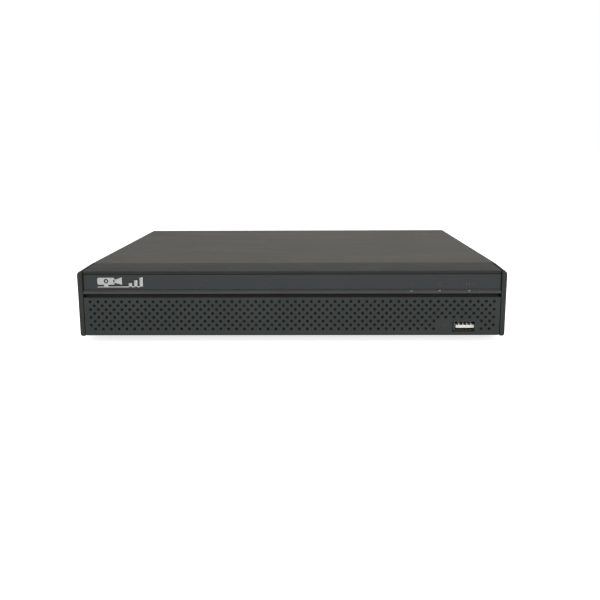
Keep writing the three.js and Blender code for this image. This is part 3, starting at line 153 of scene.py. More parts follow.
def ring(shape, hole, grow, height):
    """The edges of a rounded rectangle; hole is its middle, width, height, corner radius and corner steps."""
    x, y, wide, tall, radius, steps = hole
    matrix = Matrix.Rotation(math.pi / 4 / steps, 4, "Z")
    made = bmesh.ops.create_circle(shape, segments=4 * steps, radius=1, matrix=matrix)["verts"]
    true = (radius + grow) / math.cos(math.pi / 4 / steps) if radius > 0 else 0
    for v in made:
        out = [math.copysign(1, v.co[i]) for i in (0, 1)]
        half = [wide / 2 - radius, tall / 2 - radius]
        if radius <= 0:
            half = [half[0] + grow, half[1] + grow]
        v.co = (x + out[0] * half[0] + v.co.x * true, y + out[1] * half[1] + v.co.y * true, height)
    return list({e for v in made for e in v.link_edges})


def plate(outer, holes, thickness, edge=0.1):
    """A flat plate with holes, its face at Z = 0 and its back below. Its rims are chamfered."""
    shape = bmesh.new()
    faces, backs = [], []
    for hole, out in [(outer, -1)] + [(hole, 1) for hole in holes]:
        rims = [ring(shape, hole, out * edge, 0), ring(shape, hole, 0, -edge), ring(shape, hole, 0, -thickness)]
        for upper, lower in zip(rims, rims[1:]):
            bmesh.ops.bridge_loops(shape, edges=upper + lower)
        faces += rims[0]
        backs += rims[2]
    bmesh.ops.triangle_fill(shape, use_beauty=True, edges=faces, normal=(0, 0, 1))
    bmesh.ops.triangle_fill(shape, use_beauty=True, edges=backs, normal=(0, 0, -1))
    bmesh.ops.recalc_face_normals(shape, faces=shape.faces)
    return shape


def carved(shape, *cutters):
    """The shape without the room that the cutters take."""
    objects = []
    for part in (shape, joined(*cutters)):
        mesh = bpy.data.meshes.new("carved")
        part.to_mesh(mesh)
        part.free()
        made = bpy.data.objects.new("carved", mesh)
        bpy.context.scene.collection.objects.link(made)
        objects.append(made)
    body, tool = objects
    cut = body.modifiers.new("cut", "BOOLEAN")
    cut.operation, cut.solver, cut.object, cut.use_self = "DIFFERENCE", "EXACT", tool, True
    result = bmesh.new()
    result.from_object(body, bpy.context.evaluated_depsgraph_get())
    for made in objects:
        mesh = made.data
        bpy.data.objects.remove(made)
        bpy.data.meshes.remove(mesh)
    bmesh.ops.remove_doubles(result, verts=result.verts, dist=1e-4)
    return result


def swept(section, route, start=(0, 1, 0)):
    """A closed section carried along a line of points, with flat ends."""
    shape = bmesh.new()
    side = Vector(start)
    rings = []
    for i, point in enumerate(route):
        ahead = (route[min(i + 1, len(route) - 1)] - route[max(i - 1, 0)]).normalized()
        side = (side - ahead * side.dot(ahead)).normalized()
        up = ahead.cross(side)
        rings.append([shape.verts.new(point + side * x + up * y) for x, y in section])
    edges = [[shape.edges.new(pair) for pair in zip(r, r[1:] + r[:1])] for r in rings]
    for first, second in zip(edges, edges[1:]):
        bmesh.ops.bridge_loops(shape, edges=first + second)
    for end in (rings[0], rings[-1]):
        shape.faces.new(end)
    bmesh.ops.recalc_face_normals(shape, faces=shape.faces)
    return shape


def smooth_route(points, steps):
    """Points along a smooth curve through the given ones."""
    points = [Vector(p) for p in points]
    ends = [2 * points[0] - points[1], *points, 2 * points[-1] - points[-2]]
    route = []
    for a, b, c, d in zip(ends, ends[1:], ends[2:], ends[3:]):
        for i in range(steps):
            t = i / steps
            route.append(0.5 * (2 * b + (c - a) * t + (2 * a - 5 * b + 4 * c - d) * t ** 2
                                + (3 * b - a - 3 * c + d) * t ** 3))
    return route + [points[-1]]


def evenly(count, pitch, middle=0.0):
    """Evenly spaced places around a middle."""
    return [middle + (i - (count - 1) / 2) * pitch for i in range(count)]


def round_hole(x, y, radius, steps=6):
    return (x, y, 2 * radius, 2 * radius, radius, steps)


# ------------------------------------------------------------------ finished pieces


def span(node):
    """A CAD node's lowest and highest corners, in millimetres."""
    low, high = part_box(node)
    return low * PER_METRE, high * PER_METRE


def middle(node):
    low, high = span(node)
    return (low + high) / 2


def finished(name, shape, finish, replaces=(), body=BODY, crease=35):
    """A named piece out of a bmesh, with its finish, its CAD body and the CAD nodes that it stands for."""
    bmesh.ops.scale(shape, vec=Vector((1, 1, 1)) / PER_METRE, verts=shape.verts)
    mesh = bpy.data.meshes.new(name)
    shape.to_mesh(mesh)
    shape.free()
    mesh.shade_smooth()
    mesh.set_sharp_from_angle(angle=math.radians(crease))
    piece = bpy.data.objects.new(name, mesh)
    bpy.context.scene.collection.objects.link(piece)
    mesh.materials.append(finish)
    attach(piece, body)
    if replaces:
        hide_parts(*replaces)
    return piece


def dressed(node, finish):
    """Gives a CAD node that stays in view its finish."""
    slots = frame["nodes"][node].data.materials
    slots.clear()
    slots.append(finish)


# ------------------------------------------------------------------ finishes


class Signal:
    """A value on its way through a finish's nodes. Arithmetic on it adds Math nodes."""

    def __init__(self, finish, socket):
        self.finish = finish
        self.socket = socket

    def maths(self, operation, *values):
        return self.finish.node("ShaderNodeMath", {"operation": operation}, values)

    def __add__(self, other):
        return self.maths("ADD", self, other)

    def __radd__(self, other):
        return self.maths("ADD", other, self)

    def __sub__(self, other):
        return self.maths("SUBTRACT", self, other)

    def __rsub__(self, other):
        return self.maths("SUBTRACT", other, self)

    def __mul__(self, other):
        return self.maths("MULTIPLY", self, other)

    def __rmul__(self, other):
        return self.maths("MULTIPLY", other, self)

    def __pow__(self, other):
        return self.maths("POWER", self, other)

    def __gt__(self, other):
        return self.maths("GREATER_THAN", self, other)

    def __lt__(self, other):
        return self.maths("LESS_THAN", self, other)


class Finish:
    """A material under construction. Sizes are in millimetres, constants go straight to the shader."""

    def __init__(self, name, **constants):
        self.material = bpy.data.materials.new(name)
        self.material.use_nodes = True
        self.tree = self.material.node_tree
        self.shader = self.tree.nodes["Principled BSDF"]
        for socket, value in constants.items():
            self.shader.inputs[socket.replace("_", " ").title().replace("Ior", "IOR")].default_value = value
        self.spot = self.node("ShaderNodeTexCoord", output="Object")

    def node(self, kind, settings=None, values=(), output=0):
        """Adds a node: first its settings, then the values or links of its sockets."""
        made = self.tree.nodes.new(kind)
        settings = dict(settings or {})
        stops = settings.pop("stops", ())
        for setting, value in settings.items():
            setattr(made, setting, value)
        for i, (place, colour) in enumerate(stops):
            stop = made.color_ramp.elements[i] if i < 2 else made.color_ramp.elements.new(place)
            stop.position, stop.color = place, colour
        for socket, value in values.items() if isinstance(values, dict) else enumerate(values):
            self.feed(made.inputs[socket], value)
        return Signal(self, made.outputs[output])

    def feed(self, socket, value):
        if isinstance(value, Signal):
            self.tree.links.new(value.socket, socket)
        else:
            socket.default_value = value

    def shows(self, **inputs):
        """Joins signals to the shader's inputs and returns the material."""
        for socket, value in inputs.items():
            self.feed(self.shader.inputs[socket.replace("_", " ").title()], value)
        return self.material

    def stretched(self, along):
        """Where a point is, with the pattern stretched along an axis."""
        return self.node("ShaderNodeMapping", None, {"Vector": self.spot, "Scale": along})

    def noise(self, size, detail=2.0, along=None):
        """Soft blotches of about this size, as a value from 0 to 1."""
        where = self.stretched(along) if along else self.spot
        return self.node("ShaderNodeTexNoise", None,
                         {"Vector": where, "Scale": PER_METRE / size, "Detail": detail})

    def cells(self, size, output="Distance", along=None, feature="F1"):
        """Cells of about this size."""
        where = self.stretched(along) if along else self.spot
        return self.node("ShaderNodeTexVoronoi", {"feature": feature},
                         {"Vector": where, "Scale": PER_METRE / size}, output)

    def ranged(self, value, low, high, start=0.0, end=1.0):
        """A value spread from one range to another, held at its ends."""
        return self.node("ShaderNodeMapRange", None, {"Value": value, "From Min": low, "From Max": high,
                                                      "To Min": start, "To Max": end})

    def mixed(self, share, first, second):
        """From the first colour to the second."""
        return self.node("ShaderNodeMix", {"data_type": "RGBA"}, {0: share, 6: first, 7: second}, 2)

    def along(self, axis):
        """How far a point is along X, Y or Z, in millimetres."""
        parts = self.node("ShaderNodeSeparateXYZ", None, (self.spot,), output=axis)
        return parts * PER_METRE

    def raised(self, height, depth):
        """A normal from a height of 0 to 1 that stands for this many millimetres."""
        return self.node("ShaderNodeBump", None, {"Strength": 1.0, "Distance": depth / PER_METRE,
                                                  "Height": height})


def grey(value, warmth=0.0):
    """A grey with its red raised and its blue lowered by the warmth."""
    return (value * (1 + warmth), value, value * (1 - warmth), 1)


def scaled(colour, share):
    return tuple(channel * share for channel in colour[:3]) + (1,)


def moulded(name, colour, grain=0.4, depth=0.02, roughness=0.5, blush=0.25, **constants):
    """Moulded plastic with a fine spark-eroded texture, slow flow marks and faint handling polish."""
    f = Finish(name, **constants)
    fine = f.noise(grain, 3)
    cloud = f.noise(28, 3)
    rub = f.ranged(f.noise(9, 4, (0.35, 1, 1)), 0.55, 0.8)
    tone = f.mixed(cloud * 0.7 + fine * 0.3, scaled(colour, 1 - blush), scaled(colour, 1 + blush))
    pits = f.ranged(f.cells(grain * 1.6), 0.0, 0.45)
    return f.shows(base_color=tone, roughness=roughness + (fine - 0.5) * 0.16 - rub * 0.07,
                   normal=f.raised(fine * 0.6 + pits * 0.4, depth))


def gloss_fascia_finish():
    """Polished blue-black plastic with a faint flow ripple, haze and dust."""
    f = Finish("polished_blue_black", specular_ior_level=0.3)
    haze = f.noise(45, 3)
    ripple = f.noise(16, 1, (0.4, 1, 1))
    dust = f.ranged(f.cells(2.1), 0.075, 0.03)
    wipe = f.noise(5, 4, (0.12, 1, 1))
    tone = f.mixed(dust * 0.35, f.mixed(haze, (0.0050, 0.0076, 0.0078, 1), (0.0080, 0.0115, 0.0116, 1)),
                   (0.16, 0.16, 0.155, 1))
    return f.shows(base_color=tone, roughness=0.11 + haze * 0.08 + dust * 0.25 + f.ranged(wipe, 0.5, 0.8) * 0.06,
                   normal=f.raised(ripple, 0.015))


def cover_paint_finish():
    """Warm grey-black powder coat: a fine leathery orange peel with dull and bright grains."""
    f = Finish("textured_powder_coat", specular_ior_level=0.03)
    peel = f.noise(0.75, 3)
    grain = f.cells(0.42)
    cloud = f.noise(60, 4)
    smear = f.ranged(f.noise(24, 5, (0.3, 1, 1)), 0.5, 0.75)
    speck = f.ranged(f.cells(1.3), 0.10, 0.04)
    tone = f.mixed(cloud * 0.5 + peel * 0.5, (0.0290, 0.0278, 0.0243, 1), (0.0495, 0.0477, 0.0422, 1))
    tone = f.mixed(speck * 0.28, tone, (0.17, 0.165, 0.15, 1))
    return f.shows(base_color=tone, roughness=0.62 + (peel - 0.5) * 0.2 - smear * 0.06,
                   normal=f.raised(peel * 0.65 + f.ranged(grain, 0, 0.5) * 0.35, 0.035))


def zinc_finish():
    """Galvanised sheet: spangles that differ in brightness and gloss, rolling lines and a dull bloom."""
    f = Finish("galvanised_sheet", metallic=1.0)
    spangle = f.cells(7, "Color")
    flake = f.node("ShaderNodeSeparateColor", None, (spangle,))
    rolling = f.noise(1.4, 3, (0.04, 1, 1))
    bloom = f.noise(35, 4)
    tone = f.mixed(flake * 0.5 + rolling * 0.2 + bloom * 0.3, (0.31, 0.32, 0.32, 1), (0.46, 0.47, 0.46, 1))
    return f.shows(base_color=tone, roughness=0.4 + flake * 0.12 + bloom * 0.14,
                   normal=f.raised(rolling * 0.6 + flake * 0.4, 0.008))


def metal(name, colour, roughness, brushed=None, size=0.5, depth=0.006):
    """Plated or bare metal, brushed along an axis where one is given, with smudges."""
    f = Finish(name, metallic=1.0)
    lines = f.noise(size, 3, brushed)
    smudge = f.noise(6, 4)
    tone = f.mixed(lines * 0.4 + smudge * 0.6, scaled(colour, 0.78), scaled(colour, 1.1))
    return f.shows(base_color=tone, roughness=roughness + (smudge - 0.5) * 0.18 + (lines - 0.5) * 0.1,
                   normal=f.raised(lines, depth))


def light_guide_finish():
    """Frosted clear plastic, milky in soft patches."""
    f = Finish("frosted_light_guide", transmission_weight=0.25)
    frost = f.noise(0.25, 2)
    deep = f.noise(1.5, 2)
    return f.shows(base_color=f.mixed(deep, (0.11, 0.116, 0.116, 1), (0.17, 0.176, 0.176, 1)),
                   roughness=0.3 + frost * 0.2, normal=f.raised(frost, 0.01))


def rubber_finish():
    """Matt black rubber with mould grain and patches of grey dust."""
    f = Finish("foot_rubber", specular_ior_level=0.3)
    grain = f.noise(0.5, 4)
    dust = f.ranged(f.noise(4, 5), 0.5, 0.8)
    tone = f.mixed(dust * 0.5, f.mixed(grain, grey(0.011), grey(0.024)), grey(0.09, 0.05))
    return f.shows(base_color=tone, roughness=0.82 + dust * 0.1, normal=f.raised(grain, 0.05))


def board_finish(name, mask, copper):
    """A circuit board: solder mask over copper runs and planes, vias, and pads with bare tin."""
    f = Finish(name, specular_ior_level=0.5)
    runs = f.node("ShaderNodeTexBrick", {"offset": 0.37, "squash": 0.6, "squash_frequency": 3},
                  {"Vector": f.spot, "Scale": PER_METRE / 9, "Mortar Size": 0.035, "Mortar Smooth": 0.1,
                   "Brick Width": 0.9, "Row Height": 0.21}, output="Fac")
    across = f.node("ShaderNodeTexBrick", {"offset": 0.21, "squash": 1.4, "squash_frequency": 4},
                    {"Vector": f.node("ShaderNodeMapping", None, {"Vector": f.spot, "Rotation": (0, 0, 1.5708)}),
                     "Scale": PER_METRE / 14, "Mortar Size": 0.02, "Mortar Smooth": 0.1,
                     "Brick Width": 0.7, "Row Height": 0.16}, output="Fac")
    tracks = f.node("ShaderNodeMath", {"operation": "MAXIMUM"}, (runs, across))
    plane = f.noise(19, 1) > 0.53
    via = f.cells(2.6)
    ringed = (via < 0.13) * (via > 0.055)
    weave = f.noise(0.5, 1)
    tone = f.mixed(plane * 0.35 + tracks * 0.5, f.mixed(weave * 0.4, mask, scaled(mask, 0.7)), copper)
    tone = f.mixed(ringed, tone, (0.55, 0.53, 0.46, 1))
    return f.shows(base_color=tone, metallic=ringed * 0.9, roughness=0.34 + weave * 0.1 - ringed * 0.06,
                   normal=f.raised(tracks * 0.6 + plane * 0.2 + ringed * 0.6, 0.03))


def chip_finish():
    """Moulded epoxy of a chip, with its fine sandy face."""
    f = Finish("chip_epoxy")
    sand = f.noise(0.16, 3)
    cloud = f.noise(5, 2)
    tone = f.mixed(sand * 0.5 + cloud * 0.5, grey(0.012), grey(0.026))
    return f.shows(base_color=tone, roughness=0.58 + sand * 0.14, normal=f.raised(sand, 0.01))


def mirror_finish():
    """A sputtered disc: almost a mirror, with faint rings."""
    f = Finish("sputtered_disc", metallic=1.0)
    centre = -middle("drive_platters") / PER_METRE
    from_hub = f.node("ShaderNodeVectorMath", {"operation": "LENGTH"},
                      (f.node("ShaderNodeMapping", None, {"Vector": f.spot, "Location": centre}),), "Value")
    rings = f.node("ShaderNodeMath", {"operation": "SINE"}, (from_hub * PER_METRE * 9,))
    cloud = f.noise(30, 2)
    return f.shows(base_color=f.mixed(cloud, grey(0.72), grey(0.82, 0.01)),
                   roughness=0.05 + rings * 0.012 + cloud * 0.03)


def gold_finish():
    return metal("gold_contact", (0.78, 0.56, 0.22, 1), 0.28, (1, 0.1, 1), 0.3)


def foam_finish():
    """Open black foam, for dust filters and gaskets."""
    f = Finish("black_foam", specular_ior_level=0.2)
    pores = f.ranged(f.cells(0.7), 0.05, 0.5)
    return f.shows(base_color=f.mixed(pores, grey(0.005), grey(0.022)), roughness=0.9 + pores * 0.05,
                   normal=f.raised(pores, 0.3))


def print_finish(name, colour):
    """A pad-printed mark, thin and a little uneven."""
    f = Finish(name)
    worn = f.noise(0.3, 3)
    return f.shows(base_color=f.mixed(worn, scaled(colour, 0.85), colour), roughness=0.5 + worn * 0.2)


def sheath_finish(name, colour, ribs=None):
    """A soft cable sheath; ribs, where there are any, are this far apart across X."""
    f = Finish(name)
    fine = f.noise(0.8, 3)
    dull = f.noise(7, 3)
    height = fine * 0.4
    if ribs:
        height = height + f.node("ShaderNodeMath", {"operation": "PINGPONG"}, (f.along("X"), ribs / 2)) * (2 / ribs)
    return f.shows(base_color=f.mixed(fine * 0.4 + dull * 0.6, scaled(colour, 0.75), scaled(colour, 1.15)),
                   roughness=0.45 + dull * 0.15, normal=f.raised(height, 0.12 if ribs else 0.02))


FINISHES = {
    "bezel_plastic": moulded("charcoal_moulding", (0.0258, 0.0267, 0.0246, 1), roughness=0.62,
                             specular_ior_level=0.02),
    "fascia_gloss": gloss_fascia_finish(),
    "emblem_silver": metal("satin_silver", (0.33, 0.34, 0.34, 1), 0.38, (0.1, 1, 1)),
    "light_guide": light_guide_finish(),
    "cover_paint": cover_paint_finish(),
    "zinc_steel": zinc_finish(),
    "nickel": metal("bright_nickel", (0.66, 0.64, 0.59, 1), 0.2),
    "screw_steel": metal("zinc_plated_screw", (0.52, 0.53, 0.53, 1), 0.32),
    "foot_rubber": rubber_finish(),
    "board_green": board_finish("green_circuit_board", (0.006, 0.052, 0.020, 1), (0.018, 0.105, 0.040, 1)),
    "board_blue": board_finish("blue_circuit_board", (0.006, 0.020, 0.085, 1), (0.014, 0.045, 0.15, 1)),
    "chip_black": chip_finish(),
    "aluminium": metal("cast_aluminium", (0.58, 0.59, 0.60, 1), 0.42, None, 0.7, 0.02),
    "platter_mirror": mirror_finish(),
    "socket_black": moulded("black_socket_plastic", grey(0.014), 0.3, 0.01, 0.46),
    "socket_white": moulded("white_socket_plastic", (0.47, 0.468, 0.44, 1), 0.3, 0.01, 0.42, 0.06),
    "socket_blue": moulded("blue_socket_plastic", (0.018, 0.075, 0.33, 1), 0.3, 0.01, 0.44, 0.12),
    "socket_green": moulded("green_socket_plastic", (0.028, 0.26, 0.066, 1), 0.3, 0.01, 0.46, 0.12),
    "socket_red": moulded("red_socket_plastic", (0.44, 0.022, 0.022, 1), 0.3, 0.01, 0.44, 0.12),
    "cable_red": sheath_finish("red_data_sheath", (0.40, 0.022, 0.016, 1)),
    "cable_grey": sheath_finish("grey_ribbon_sheath", (0.30, 0.31, 0.32, 1), ribs=1.27),
}
GOLD = gold_finish()
# Tinned steel darkened far below its own colour: painted shade for the dark inside of the socket mouths.
SHELL_PAINTED_SHADE = metal("tinned_shell_painted_shade", (0.17, 0.165, 0.155, 1), 0.42)
CONTACT = metal("tinned_contact", (0.80, 0.78, 0.70, 1), 0.45)
FOAM = foam_finish()
DARK_PRINT = print_finish("dark_print", grey(0.006))
PALE_PRINT = print_finish("pale_print", grey(0.55))
YELLOW_SLEEVE = sheath_finish("yellow_wire_sleeve", (0.62, 0.42, 0.03, 1))
RED_SLEEVE = sheath_finish("red_wire_sleeve", (0.42, 0.020, 0.016, 1))
BLACK_SLEEVE = sheath_finish("black_wire_sleeve", grey(0.016))
CERAMIC = moulded("ceramic_body", (0.30, 0.22, 0.14, 1), 0.3, 0.01, 0.4, 0.15)
# The grille is the bezel's charcoal plastic; its cooler, slightly lighter tone is painted light standing in for the
# cooler light on the front face.
GRILLE_PAINTED_COOL_LIGHT = moulded("grille_moulding_painted_cool_light", (0.0261, 0.0305, 0.0296, 1), roughness=0.62, specular_ior_level=0.02)
# The ledge is the bezel's charcoal plastic; its lighter base colour is a painted highlight for the light its forward
# slope catches.
LEDGE_PAINTED_HIGHLIGHT = moulded("satin_ledge_painted_highlight", (0.0335, 0.0352, 0.0342, 1), 0.3, 0.01, 0.5, specular_ior_level=0.1)
LID_STEEL = metal("brushed_lid_steel", (0.44, 0.45, 0.45, 1), 0.38, (0.03, 1, 1), 0.6)
LABEL = print_finish("label_paper", (0.36, 0.36, 0.345, 1))
BRAID = sheath_finish("black_braided_sleeve", grey(0.02), ribs=0.9)
# ------------------------------------------------------------------ front

FRAME_LOW, FRAME_HIGH = span("front_bezel")
FASCIA_LOW, FASCIA_HIGH = span("gloss_fascia")
GRILLE_LOW, GRILLE_HIGH = span("grille_panel")
CHEEK_LOW, CHEEK_HIGH = span("right_cheek")
FRONT_USB_LOW, FRONT_USB_HIGH = span("front_usb_shell")
FRONT_Y = FRAME_LOW.y
UNDERSIDE = FRAME_LOW.z
TOP = FRAME_HIGH.z
LIGHTS = ["status_light", "drive_light", "network_light"]
BEZEL_TAPER = 1.5  # each side comes in by this much at the front


def tapered(shape):
    """Brings both sides in towards the front."""
    depth, half = FRAME_HIGH.y - FRONT_Y, CHEEK_HIGH.x
    for v in shape.verts:
        v.co.x *= 1 - BEZEL_TAPER / half * (1 - (v.co.y - FRONT_Y) / depth)
    return shape


def pulled_across(points, half, edge=0.0, segments=2):
    """An outline of depth behind the front and height above the underside, pulled from side to side."""
    shape = prism([(FRONT_Y + depth, UNDERSIDE + height) for depth, height in points], -half, half)
    placed(shape, facing=FACING_RIGHT)
    return eased(shape, edge, segments, limit=20) if edge else shape


def arc(centre, radius, start, end, steps):
    """Points on an arc, with its angles in degrees."""
    turns = [math.radians(start + (end - start) * i / steps) for i in range(steps + 1)]
    return [(centre[0] + radius * math.cos(a), centre[1] + radius * math.sin(a)) for a in turns]


def light_slot(node, room):
    """Where a light guide's narrow end comes through."""
    low, high = span(node)
    grow = Vector((room - 0.4, 3, room - 0.1))
    return block(low - grow, high + grow)


def usb_slot(room=0.3):
    grow = Vector((room, 3, room))
    return block(FRONT_USB_LOW - grow, FRONT_USB_HIGH + grow)


def front_bezel():
    """The moulded surround: the visor with its sloping underside, the web behind the panels, the floor."""
    height, depth = TOP - UNDERSIDE, FRAME_HIGH.y - FRONT_Y
    wall, web, fascia_top, seam = 2.2, 4, height - 2.3, 0.5
    outline = [(depth, height - seam), (depth - seam, height), *arc((0.45, height - 0.45), 0.45, 90, 200, 5),
               (1.75, fascia_top + 0.02),
               (1.95, fascia_top), (web, fascia_top), (web, wall), (2.7, wall), (2.7, 0), (depth, 0),
               (depth, wall), (web + wall, wall), (web + wall, height - wall), (depth, height - wall)]
    shape = tapered(pulled_across(outline, FRAME_HIGH.x - 0.6))
    half = FRAME_HIGH.x - 6
    window = block((-half, FRONT_Y + 3, UNDERSIDE + 3.2), (half, FRONT_Y + 7.2, GRILLE_HIGH.z - 1))
    shape = carved(shape, window, usb_slot(), *[light_slot(node, 0.15) for node in LIGHTS])
    eased(shape, 0.3, 2, wanted=lambda e: all(v.co.z > TOP - 0.01 for v in e.verts)
          and abs(e.verts[0].co.x - e.verts[1].co.x) < 3)
    return finished("bezel_surround", shape, FINISHES["bezel_plastic"], ["front_bezel"])


def cheek(side):
    """An end cap of the bezel, rounded over its top, its foot and its front edge."""
    inner, outer = CHEEK_LOW.x, CHEEK_HIGH.x
    shape = block((inner, FRONT_Y, UNDERSIDE), (outer, CHEEK_HIGH.y, TOP))

    def runs(e, axis, x, low):
        a, b = e.verts
        return abs((a.co - b.co)[axis]) > 1 and all(abs(v.co.x - x) < 0.01 for v in e.verts) \
            and (a.co[3 - axis] < 20) == low

    eased(shape, 2.6, 10, lambda e: runs(e, 1, outer, False))
    eased(shape, 1.3, 6, lambda e: runs(e, 1, outer, True) and e.verts[0].co.z < UNDERSIDE + 1)
    eased(shape, 0.7, 4, lambda e: all(v.co.y < FRONT_Y + 0.01 and v.co.x > inner + 0.01 for v in e.verts))
    eased(shape, 0.28, 2, lambda e: all(abs(v.co.x - inner) < 0.01 for v in e.verts)
          and any(v.co.y < FRONT_Y + 0.8 or v.co.z > TOP - 0.8 for v in e.verts))
    tapered(shape)
    if side < 0:
        bmesh.ops.scale(shape, vec=(-1, 1, 1), verts=shape.verts)
        bmesh.ops.recalc_face_normals(shape, faces=shape.faces)
    name = "right_cheek" if side > 0 else "left_cheek"
    return finished(name + "_cap", shape, FINISHES["bezel_plastic"], [name])


def fascia():
    """The gloss strip, and under it the satin ledge that slopes forward and carries the lights."""
    top, back, foot = FASCIA_HIGH.z - UNDERSIDE, 3.7, 28.3
    gloss = [(1.95, top), *arc((1.95, foot + 0.2), 0.15, 180, 270, 3), (back, foot + 0.05), (back, top)]
    strip = tapered(pulled_across(gloss, FRAME_HIGH.x))
    finished("gloss_strip", strip, FINISHES["fascia_gloss"], ["gloss_fascia"])
    slope = [(back, foot), *arc((1.95, foot - 0.2), 0.2, 90, 130, 3), *arc((0.62, 27.0), 0.32, 130, 180, 4),
             (0.3, 26.25), *arc((0.5, 26.2), 0.2, 180, 270, 3), (back, 26.0)]
    ledge = tapered(pulled_across(slope, FRAME_HIGH.x))
    ledge = carved(ledge, *[light_slot(node, 0.15) for node in LIGHTS])
    finished("light_ledge", ledge, LEDGE_PAINTED_HIGHLIGHT)


def grille():
    """The perforated panel: staggered rows of round holes that stop short of the USB socket."""
    pitch, step, rows, first = 4.822, 2.41, 8, 52
    centre = (GRILLE_LOW + GRILLE_HIGH) / 2
    top_row = TOP - 18.8
    usb = (FRONT_USB_LOW + FRONT_USB_HIGH) / 2
    bare = {5: 13.2, 6: 15.6, 7: 13.2}  # half of the plain field beside the socket, for each row that it meets
    bare_middle = usb.x - pitch
    holes = []
    for row in range(rows):
        height = top_row - row * step
        for x in evenly(first - row % 2, pitch):
            if abs(x - bare_middle) > bare.get(row, 0):
                holes.append(round_hole(x, height - centre.z, 0.87, 3))
    size = GRILLE_HIGH - GRILLE_LOW
    holes.append((usb.x, usb.z - centre.z, 13.6, 6.3, 0.5, 3))
    thickness, ease, foot = 1.6, 0.16, 1.5
    shape = plate((0, 0, 2 * FRAME_HIGH.x, size.z, 0, 1), holes, thickness, ease)
    for v in shape.verts:
        if v.co.y < -size.z / 2 + 0.2 and v.co.z > -0.2:
            v.co.yz = (-size.z / 2 + foot, 0) if v.co.z > -0.01 else (-size.z / 2, -foot)
        elif v.co.y > size.z / 2 - 0.2 and v.co.z > -0.2:
            v.co.yz = (size.z / 2 - 0.4, 0) if v.co.z > -0.01 else (size.z / 2, -0.4)
    placed(shape, (0, FRONT_Y, centre.z), FACING_FRONT)
    return finished("perforated_grille", tapered(shape), GRILLE_PAINTED_COOL_LIGHT, ["grille_panel"])


def grille_backing():
    """Dark dust foam held behind the grille's holes."""
    centre, size = (GRILLE_LOW + GRILLE_HIGH) / 2, GRILLE_HIGH - GRILLE_LOW
    usb = (FRONT_USB_LOW + FRONT_USB_HIGH) / 2
    window = (usb.x, usb.z - centre.z, 13.6, 6.3, 0.5, 3)
    sheet = plate((0, 0, size.x - 0.8, size.z - 0.6, 0, 1), [window], 0.75, 0.05)
    placed(sheet, (0, FRONT_Y + 1.62, centre.z), FACING_FRONT)
    return finished("grille_dust_foam", sheet, FOAM)


def emblem():
    """A pictogram in satin silver: a camera on a bar, with rising strips beside it."""
    low, high = span("emblem")
    wide, tall = high.x - low.x, high.z - low.z
    lens = (5.25, 3.8)
    body = plate((5.25, 3.8, 10.5, 4.4, 1, 5), [round_hole(*lens, 1.3, 6)], 0.4, 0.09)
    parts = [placed(body, (0, 0, 0.4)), rod(0.62, 0.02, 0.4, 20, 0.08), block((3.95, 0.55, 0), (6.55, 1.75, 0.36), 0.06)]
    placed(parts[1], (*lens, 0))
    parts.append(prism([(9.6, 3.0), (14.9, 1.6), (14.9, 6.0), (9.6, 4.6)], 0, 0.4, 0.09))
    parts.append(block((0, 0, 0), (wide, 0.6, 0.4), 0.09))
    for i in range(3):
        edge = wide - i * 3.3
        parts.append(block((edge - 2, 0, 0), (edge, tall - i * 1.7, 0.4), 0.09))
    shape = placed(joined(*parts), (low.x, high.y, low.z), FACING_FRONT)
    return finished("emblem_pictogram", shape, FINISHES["emblem_silver"], ["emblem"])


def light_guides():
    """The ends of the three light guides, flush in the ledge."""
    for node in LIGHTS:
        low, high = span(node)
        narrow = Vector((0.4, 0, 0.1))
        shape = block(low + narrow, high - narrow, 0.18, 3)
        finished(node + "_guide", shape, FINISHES["light_guide"], [node])


def printed_symbols():
    """Small dark symbols over the lights and beside the USB socket."""
    def on_face(points, where):
        return placed(prism(points, 0, 0.03), where, FACING_FRONT)

    face = FRONT_Y + 1.8
    height = FASCIA_LOW.z + 5.4
    status, drive, network = [middle(node).x for node in LIGHTS]
    ring_mark = plate(round_hole(0, 0, 1.3, 6), [round_hole(0, 0, 0.95, 6)], 0.03, 0.0)
    parts = [placed(ring_mark, (status, face, height + 0.3), FACING_FRONT),
             on_face([(-0.18, -0.2), (0.18, -0.2), (0.18, 2.0), (-0.18, 2.0)], (status, face, height + 0.3))]
    for level in (-1.1, -0.1, 0.9):
        parts.append(on_face([(-1.7, 0), (1.7, 0), (1.7, 0.6), (-1.7, 0.6)], (drive, face, height + level)))
    for i, tall in enumerate((0.8, 1.5, 2.2, 1.5, 0.8)):
        parts.append(on_face([(-0.45, -tall / 2), (0.45, -tall / 2), (0.45, tall / 2), (-0.45, tall / 2)],
                             (network + (i - 2) * 1.7, face, height + 0.2)))
    usb = middle("front_usb_shell")
    where = (FRONT_USB_LOW.x - 6, FRONT_Y, usb.z + 1.2)
    parts += [on_face([(-2.6, -0.16), (1.6, -0.16), (1.6, 0.16), (-2.6, 0.16)], where),
              on_face([(1.6, -0.6), (2.7, 0), (1.6, 0.6)], where),
              on_face([(-1.6, 0.1), (-1.3, 0.1), (-0.1, 1.1), (0.7, 1.1), (0.7, 1.4), (-0.2, 1.4)], where),
              on_face([(-0.7, -0.1), (0.3, -1.1), (1.1, -1.1), (1.1, -1.4), (0.2, -1.4), (-1.0, -0.1)], where),
              placed(rod(0.5, 0, 0.03, 12), (where[0] - 2.6, where[1], where[2]), FACING_FRONT)]
    return finished("printed_symbols", joined(*parts), DARK_PRINT)


# ------------------------------------------------------------------ sockets
TIPPED = Matrix(((0, 0, 1, 0), (0, 1, 0, 0), (1, 0, 0, 0), (0, 0, 0, 1)))  # an outline of depth and height
# A socket is made facing +Z with its middle at the origin, then turned to its panel.


